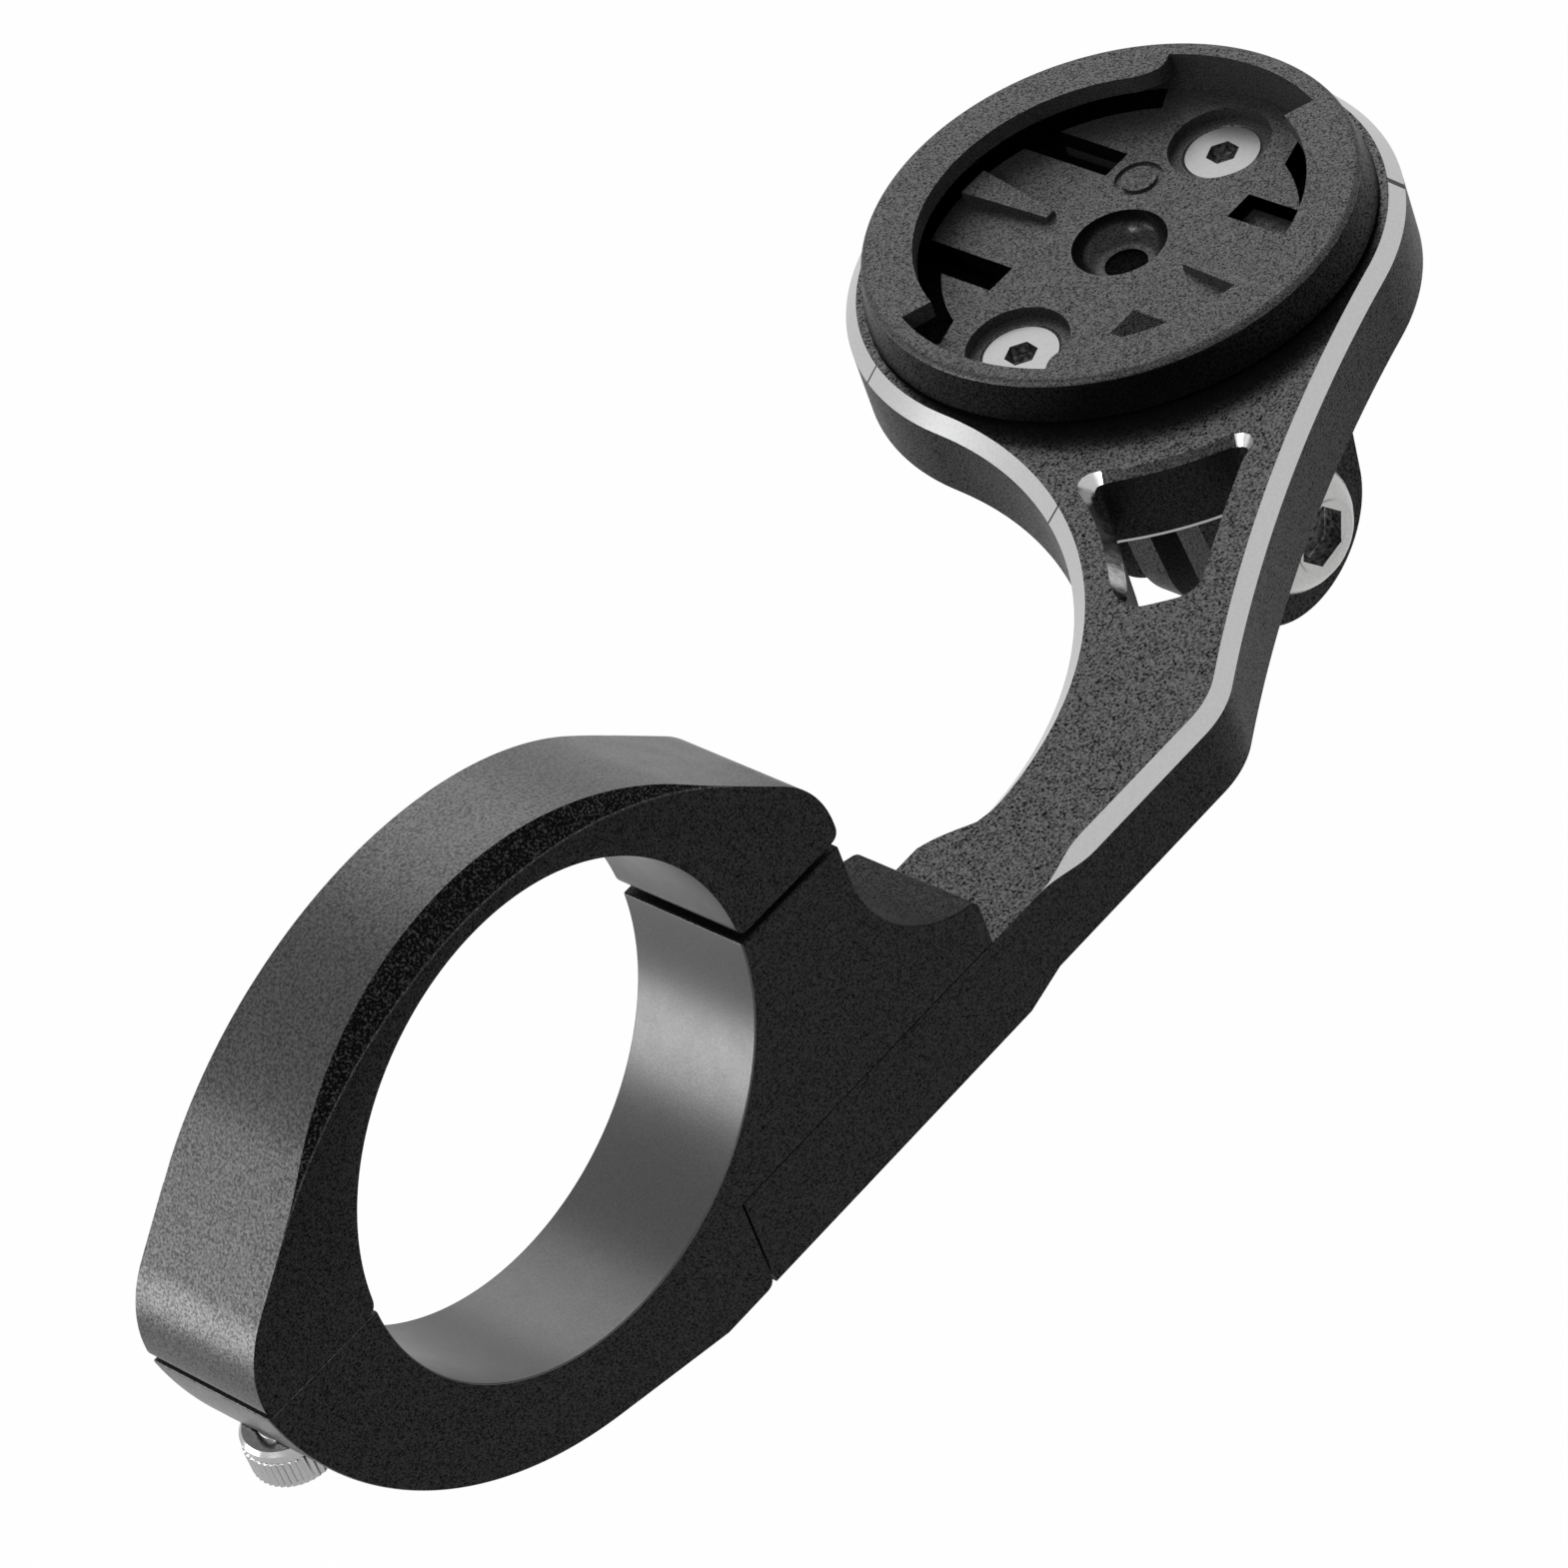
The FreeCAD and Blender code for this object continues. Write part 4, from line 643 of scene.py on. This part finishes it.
def insert():
    """A turned ring, then on each side a notch, a mould opening, two slots, a relief, a well and a wedge."""
    piece = lathe("insert_piece", insert_profile(), plastic, (HEAD.x, HEAD.y, 0), steps=240)
    wall = len(piece.data.materials)
    bowl = wall + 1
    piece.data.materials.append(plastic_wall_painted_shade)
    piece.data.materials.append(plastic_bowl_painted_shade)
    # The outer wall gets the near-black copy of the plastic, which is painted shade
    for polygon in piece.data.polygons:
        reach = (polygon.center.xy / MM - HEAD).length
        if reach > CAVITY_RADIUS + 0.5 and polygon.center.z / MM < INSERT_TOP - 0.35:
            polygon.material_index = wall
        # The bowl of the centre hole gets the dark copy of the plastic, which is painted shade
        if reach < 3.4 and polygon.center.z / MM < INSERT_FLOOR - 0.01:
            polygon.material_index = bowl
    over, under = INSERT_FLOOR + 0.02, BOSS_BOTTOM - 1
    for turned in (False, True):
        shape = half_turned if turned else list
        combine(piece, prism("notch_tool", shape(notch()), INSERT_FLOOR, INSERT_TOP + 1, "XY", plastic))
        opening = shape(sector(CORE_RADIUS, CAVITY_RADIUS, 27, 153))
        # The openings, run-outs and slots are cut with the near-black copy, which is painted shade
        combine(piece, prism("opening_tool", opening, under, over, "XY", plastic_wall_painted_shade))
        combine(piece, prism("run_out_tool", shape(run_out()), under - 0.1, over + 0.03, "XY", plastic_wall_painted_shade))
        for low, high in ((SLOT_INNER, SLOT_OUTER), (-SLOT_OUTER, -SLOT_INNER)):
            slot = shape(box_outline(low, TONGUE_ROOT, high, CORE_RADIUS + 0.1))
            combine(piece, prism("slot_tool", slot, under, over, "XY", plastic_wall_painted_shade))
        relief = shape(box_outline(-SLOT_OUTER, TONGUE_ROOT, SLOT_OUTER, CORE_RADIUS + 0.1))
        combine(piece, prism("relief_tool", relief, under, INSERT_FLOOR - 1.3, "XY", plastic))
        combine(piece, wedge(shape), "UNION")
        side = -1 if turned else 1
        well = [(0, over), (3.6, over), (3.6, WELL_FLOOR), (2.8, WELL_FLOOR), (SCREW_HOLE, BOSS_BOTTOM),
                (SCREW_HOLE, -20), (0, -20)]
        combine(piece, lathe("well_tool", well, plastic, (HEAD.x + side * INSERT_SCREW, HEAD.y, 0), steps=96))
    groove, clear = INSERT_FLOOR - 0.25, INSERT_FLOOR + 0.1
    ring = [(1.25, groove), (1.7, groove), (1.7, clear), (1.25, clear)]
    combine(piece, lathe("ring_tool", ring, plastic, (HEAD.x + 5.7, HEAD.y + 3.0, 0), steps=64))
    return place_piece(piece, "mount", "insert", edge=0.14)


def notch():
    """Square at one end, and at the other it runs out along the lip in a curve."""
    centre = (HEAD.x, HEAD.y)
    curve = ((15.0, 24.0), (14.5, 24.5), (14.1, 25.6), (13.8, 27.4), (13.55, 30.0), (13.35, 33.5),
             (12.8, 30.0))
    run = [arc(centre, radius, turn, turn + 1)[0] for radius, turn in curve]
    return arc(centre, CAVITY_RADIUS, -24, 24, 1.5) + run + arc(centre, 9.0, 24, -24, 1.5)


def run_out():
    """Where the opening below the lip widens in a hollow curve and runs on into the notch."""
    inner = arc((HEAD.x, HEAD.y), 12.2, 124, 152, 2.0)
    outer = arc((HEAD.x, HEAD.y), CAVITY_RADIUS - 0.03, 157, 119, 2.0)
    return inner + [Vector((HEAD.x - 12.9, HEAD.y + 5.1))] + outer


def wedge(shape):
    """Rises outwards along its tongue, from a narrow tip to a wide root below the lip."""
    sink = INSERT_FLOOR - 0.5
    rings = []
    for y, half, level in ((6.0, 0.4, INSERT_FLOOR + 0.5), (12.8, 1.2, INSERT_FLOOR + 1.1)):
        foot = half + 0.15
        across = [(-foot, sink), (foot, sink), (half, level), (-half, level)]
        spots = shape([Vector((HEAD.x + x, HEAD.y + y)) for x, _ in across])
        rings.append([(spot.x, spot.y, z) for spot, (_, z) in zip(spots, across)])
    return loft("wedge_tool", rings, [plastic, plastic, plastic])


# Screws, bolt, nut and lug

def hexagon(centre, across_flats, turn=0.0):
    """Its corners, the first one at a turn in degrees."""
    radius = across_flats / math.sqrt(3)
    turns = [math.radians(60 * i + turn) for i in range(6)]
    return [Vector((centre[0] + radius * math.cos(a), centre[1] + radius * math.sin(a))) for a in turns]


def cap_screw(name, node, x, seat, length):
    """Socket head screw along +Z with a knurled head below its seat."""
    head, height, teeth = 2.8, 3.0, 44
    rings = []
    for level, cut, tooth in ((seat - height, 0.35, 0.0), (seat - height + 0.3, 0.0, 0.14),
                              (seat - 0.85, 0.0, 0.14), (seat - 0.8, 0.12, 0.0),
                              (seat - 0.25, 0.12, 0.0), (seat, 0.35, 0.0)):
        ring = []
        for i in range(teeth * 2):
            turn = math.pi * i / teeth
            radius = head - cut - (tooth if i % 2 else 0.0)
            ring.append((x + radius * math.cos(turn), radius * math.sin(turn), level))
        rings.append(ring)
    screw = loft(name, rings, [bright_steel] * (len(rings) + 1))
    shank = [(0, seat - 0.5), (1.5, seat - 0.5), (1.5, seat + length - 0.4), (1.1, seat + length),
             (0, seat + length)]
    combine(screw, lathe("shank_tool", shank, bright_steel, (x, 0, 0), steps=48), "UNION")
    combine(screw, prism("socket_tool", hexagon((x, 0), 2.5), seat - height - 1, seat - height + 1.6, "XY",
                         socket_dark))
    return place_piece(screw, "mount", node, edge=0.04, angle=50)


def flat_screw(name, node, x):
    """Countersunk screw down from its flat top."""
    top = WELL_FLOOR
    profile = [(0, top), (2.6, top), (2.75, top - 0.12), (1.5, top - 1.25), (1.5, top - 8.2),
               (1.3, top - 8.35), (0, top - 8.35)]
    screw = lathe(name, profile, satin_steel, (x, HEAD.y, 0), steps=96)
    combine(screw, prism("socket_tool", hexagon((x, HEAD.y), 2.0, 20), top - 1.0, top + 1, "XY", socket_dark))
    return place_piece(screw, "mount", node, edge=0.06, angle=40)


def camera_bolt():
    """Button head bolt along +Y, its head on the near side."""
    seat = LUG.y - LUG_SIDE
    head = [(0, -2.45), (2.45, -2.45), (2.8, -2.7), (3.2, -2.5), (3.85, -1.9), (4.35, -1.25), (4.6, -0.7),
            (4.7, -0.35), (4.7, 0)]
    profile = head + [(2.5, 0), (2.5, 17.2), (2.2, 17.5), (0, 17.5)]
    bolt = lathe("camera_bolt_piece", profile, bolt_metal, (LUG.x, seat, BOLT_LEVEL), "Y", steps=96)
    socket = hexagon((LUG.x, BOLT_LEVEL), 3.9, 10)
    combine(bolt, prism("socket_tool", socket, seat - 4, seat - 1.0, "XZ", socket_dark))
    return place_piece(bolt, "bolt", "camera_bolt", edge=0.08, angle=40)


def camera_nut():
    """The captive nut in the hexagon of the lug's boss."""
    low = LUG.y + LUG_SIDE + NUT_BOSS - NUT_HEIGHT
    outline = hexagon((LUG.x, BOLT_LEVEL), 8.0)
    nut = prism("camera_nut_piece", outline, low, low + NUT_HEIGHT, "XZ", satin_steel)
    drill(nut, "hole_tool", BOLT_HOLE, -1, 6, satin_steel, (LUG.x, low, BOLT_LEVEL), "Y", steps=48)
    return place_piece(nut, "mount", "camera_nut", edge=0.15)


def accessory_lug():
    """A round plate below the head, three prongs whose sides flare upwards, and the nut's boss."""
    root, wide, radius = ARM_UNDER - 1.8, 8.65, 7.05
    reach = math.hypot(wide, root - BOLT_LEVEL)
    lean = math.degrees(math.atan2(root - BOLT_LEVEL, wide) - math.acos(radius / reach))
    foot = ARM_UNDER - 3.6
    plate = [(0, ARM_UNDER), (13.8, ARM_UNDER), (13.8, foot), (0, foot)]
    lug = lathe("accessory_lug_piece", plate, lug_metal, (LUG.x, LUG.y, 0), steps=180)
    for shift in (-PRONG_PITCH, 0, PRONG_PITCH):
        side = [Vector((LUG.x - wide, root))]
        side += arc((LUG.x, BOLT_LEVEL), radius, 180 - lean, 360 + lean, 3)
        side += [Vector((LUG.x + wide, root))]
        middle = LUG.y + shift
        low, high = middle - PRONG_HALF, middle + PRONG_HALF
        combine(lug, prism("prong_tool", side, low, high, "XZ", lug_metal), "UNION")
    far = LUG.y + LUG_SIDE
    axis = (LUG.x, 0, BOLT_LEVEL)
    boss = [(0, far - 1), (6.45, far - 1), (6.45, far + NUT_BOSS), (0, far + NUT_BOSS)]
    combine(lug, lathe("boss_tool", boss, lug_metal, axis, "Y", steps=96), "UNION")
    drill(lug, "bore_tool", BOLT_HOLE, far - 30, far + 9, lug_metal, axis, "Y", steps=64)
    socket = hexagon((LUG.x, BOLT_LEVEL), 8.15)
    low = far + NUT_BOSS - NUT_HEIGHT - 0.05
    combine(lug, prism("socket_tool", socket, low, far + 4, "XZ", lug_metal))
    for reach in (INSERT_SCREW, -INSERT_SCREW):
        drill(lug, "tap_tool", THREAD_HOLE, -40, -20, lug_metal, (HEAD.x + reach, HEAD.y, 0))
    return place_piece(lug, "mount", "accessory_lug", edge=0.2)


# The whole mount

clamp_cap()
clamp_base()
arm()
insert()
cap_screw("rear_clamp_screw_piece", "rear_clamp_screw", REAR_SCREW, LUG_SEAT, 10.15)
cap_screw("front_clamp_screw_piece", "front_clamp_screw", FRONT_SCREW, SINK_SEAT, 24.15)
cap_screw("arm_screw_piece", "arm_screw", ARM_SCREW, SINK_SEAT, 8.05)
flat_screw("insert_screw_front_piece", "insert_screw_front", HEAD.x + INSERT_SCREW)
flat_screw("insert_screw_rear_piece", "insert_screw_rear", HEAD.x - INSERT_SCREW)
camera_bolt()
camera_nut()
accessory_lug()


# Floor, world, lights and camera

FLOOR_SIZE, FLOOR_LEVEL = 2.0, -0.14
WHITE_SHARE = 0.97
SKY_STRENGTH = 0.5
CAMERA_PLACE = Vector((-159.707, -275.435, 290.651))
CAMERA_AZIMUTH, CAMERA_ELEVATION, CAMERA_ROLL = 33.996, 41.053, -21.552
FOCAL_PIXELS, PHOTO_PIXELS, SENSOR = 7508.7, 1569, 36


def seen_directly(tree):
    """1 for camera, glossy and transmission rays, which see the white background, else 0."""
    path = tree.nodes.new("ShaderNodeLightPath")
    total = path.outputs["Is Camera Ray"]
    for ray in ("Is Glossy Ray", "Is Transmission Ray"):
        add = tree.nodes.new("ShaderNodeMath")
        add.operation = "ADD"
        add.use_clamp = True
        tree.links.new(total, add.inputs[0])
        tree.links.new(path.outputs[ray], add.inputs[1])
        total = add.outputs[0]
    return total


def floor():
    """A pale floor that keeps the object's shadow and looks white itself."""
    size, level = FLOOR_SIZE, FLOOR_LEVEL
    mesh = bpy.data.meshes.new("floor")
    mesh.from_pydata([(-size, -size, level), (size, -size, level), (size, size, level), (-size, size, level)],
                     [], [(0, 1, 2, 3)])
    obj = bpy.data.objects.new("floor", mesh)
    bpy.context.scene.collection.objects.link(obj)
    material = bpy.data.materials.new("pale_floor")
    material.use_nodes = True
    tree = material.node_tree
    tree.nodes.clear()
    output = tree.nodes.new("ShaderNodeOutputMaterial")
    diffuse = tree.nodes.new("ShaderNodeBsdfDiffuse")
    diffuse.inputs["Color"].default_value = (0.8, 0.8, 0.8, 1)
    glow = tree.nodes.new("ShaderNodeEmission")
    glow.inputs["Strength"].default_value = 1.0
    backdrop = tree.nodes.new("ShaderNodeMixShader")
    backdrop.inputs["Fac"].default_value = WHITE_SHARE
    tree.links.new(diffuse.outputs[0], backdrop.inputs[1])
    tree.links.new(glow.outputs[0], backdrop.inputs[2])
    mix = tree.nodes.new("ShaderNodeMixShader")
    tree.links.new(seen_directly(tree), mix.inputs["Fac"])
    tree.links.new(diffuse.outputs[0], mix.inputs[1])
    tree.links.new(backdrop.outputs[0], mix.inputs[2])
    tree.links.new(mix.outputs[0], output.inputs["Surface"])
    mesh.materials.append(material)


def world():
    """Soft light from all round, behind a background that looks white."""
    made = bpy.data.worlds.new("studio")
    bpy.context.scene.world = made
    made.use_nodes = True
    tree = made.node_tree
    tree.nodes.clear()
    output = tree.nodes.new("ShaderNodeOutputWorld")
    mix = tree.nodes.new("ShaderNodeMixShader")
    soft = tree.nodes.new("ShaderNodeBackground")
    soft.inputs["Strength"].default_value = SKY_STRENGTH
    white = tree.nodes.new("ShaderNodeBackground")
    white.inputs["Color"].default_value = (1, 1, 1, 1)
    white.inputs["Strength"].default_value = 1.0
    tree.links.new(seen_directly(tree), mix.inputs["Fac"])
    tree.links.new(soft.outputs[0], mix.inputs[1])
    tree.links.new(white.outputs[0], mix.inputs[2])
    tree.links.new(mix.outputs[0], output.inputs["Surface"])


def softbox(name, position, target, size, power):
    """A rectangular lamp at a place in metres, turned to a target."""
    data = bpy.data.lights.new(name, "AREA")
    data.shape = "RECTANGLE"
    data.size, data.size_y = size
    data.energy = power
    obj = bpy.data.objects.new(name, data)
    obj.location = position
    obj.rotation_mode = "QUATERNION"
    obj.rotation_quaternion = (Vector(target) - Vector(position)).to_track_quat("-Z", "Y")
    obj.visible_camera = False
    bpy.context.scene.collection.objects.link(obj)


def camera():
    """The camera that was fitted to the photo."""
    azimuth, elevation, roll = [math.radians(a) for a in (CAMERA_AZIMUTH, CAMERA_ELEVATION, CAMERA_ROLL)]
    forward = Vector((math.sin(azimuth) * math.cos(elevation), math.cos(azimuth) * math.cos(elevation),
                      -math.sin(elevation)))
    level = forward.cross(Vector((0, 0, 1))).normalized()
    right = level * math.cos(roll) + level.cross(forward) * math.sin(roll)
    up = right.cross(forward)
    turn = Matrix((right, up, -forward)).transposed()
    data = bpy.data.cameras.new("camera")
    data.lens = FOCAL_PIXELS / PHOTO_PIXELS * SENSOR
    data.sensor_width = SENSOR
    data.clip_start, data.clip_end = 0.01, 20
    obj = bpy.data.objects.new("camera", data)
    obj.matrix_world = Matrix.Translation(CAMERA_PLACE * MM) @ turn.to_4x4()
    bpy.context.scene.collection.objects.link(obj)
    bpy.context.scene.camera = obj


floor()
world()
softbox("key_left_back", (-0.375, 0.325, 0.05), (0, 0, 0), (0.26, 0.26), 1.5)
softbox("fill_top", (0.42, 0.40, 0.42), (0.04, 0.012, -0.01), (0.55, 0.55), 1.6)
softbox("rim_left", (-0.40, 0.01, 0.42), (0.087, 0.029, -0.013), (0.11, 0.11), 1.0)
camera()
bpy.context.scene.view_settings.view_transform = "Standard"
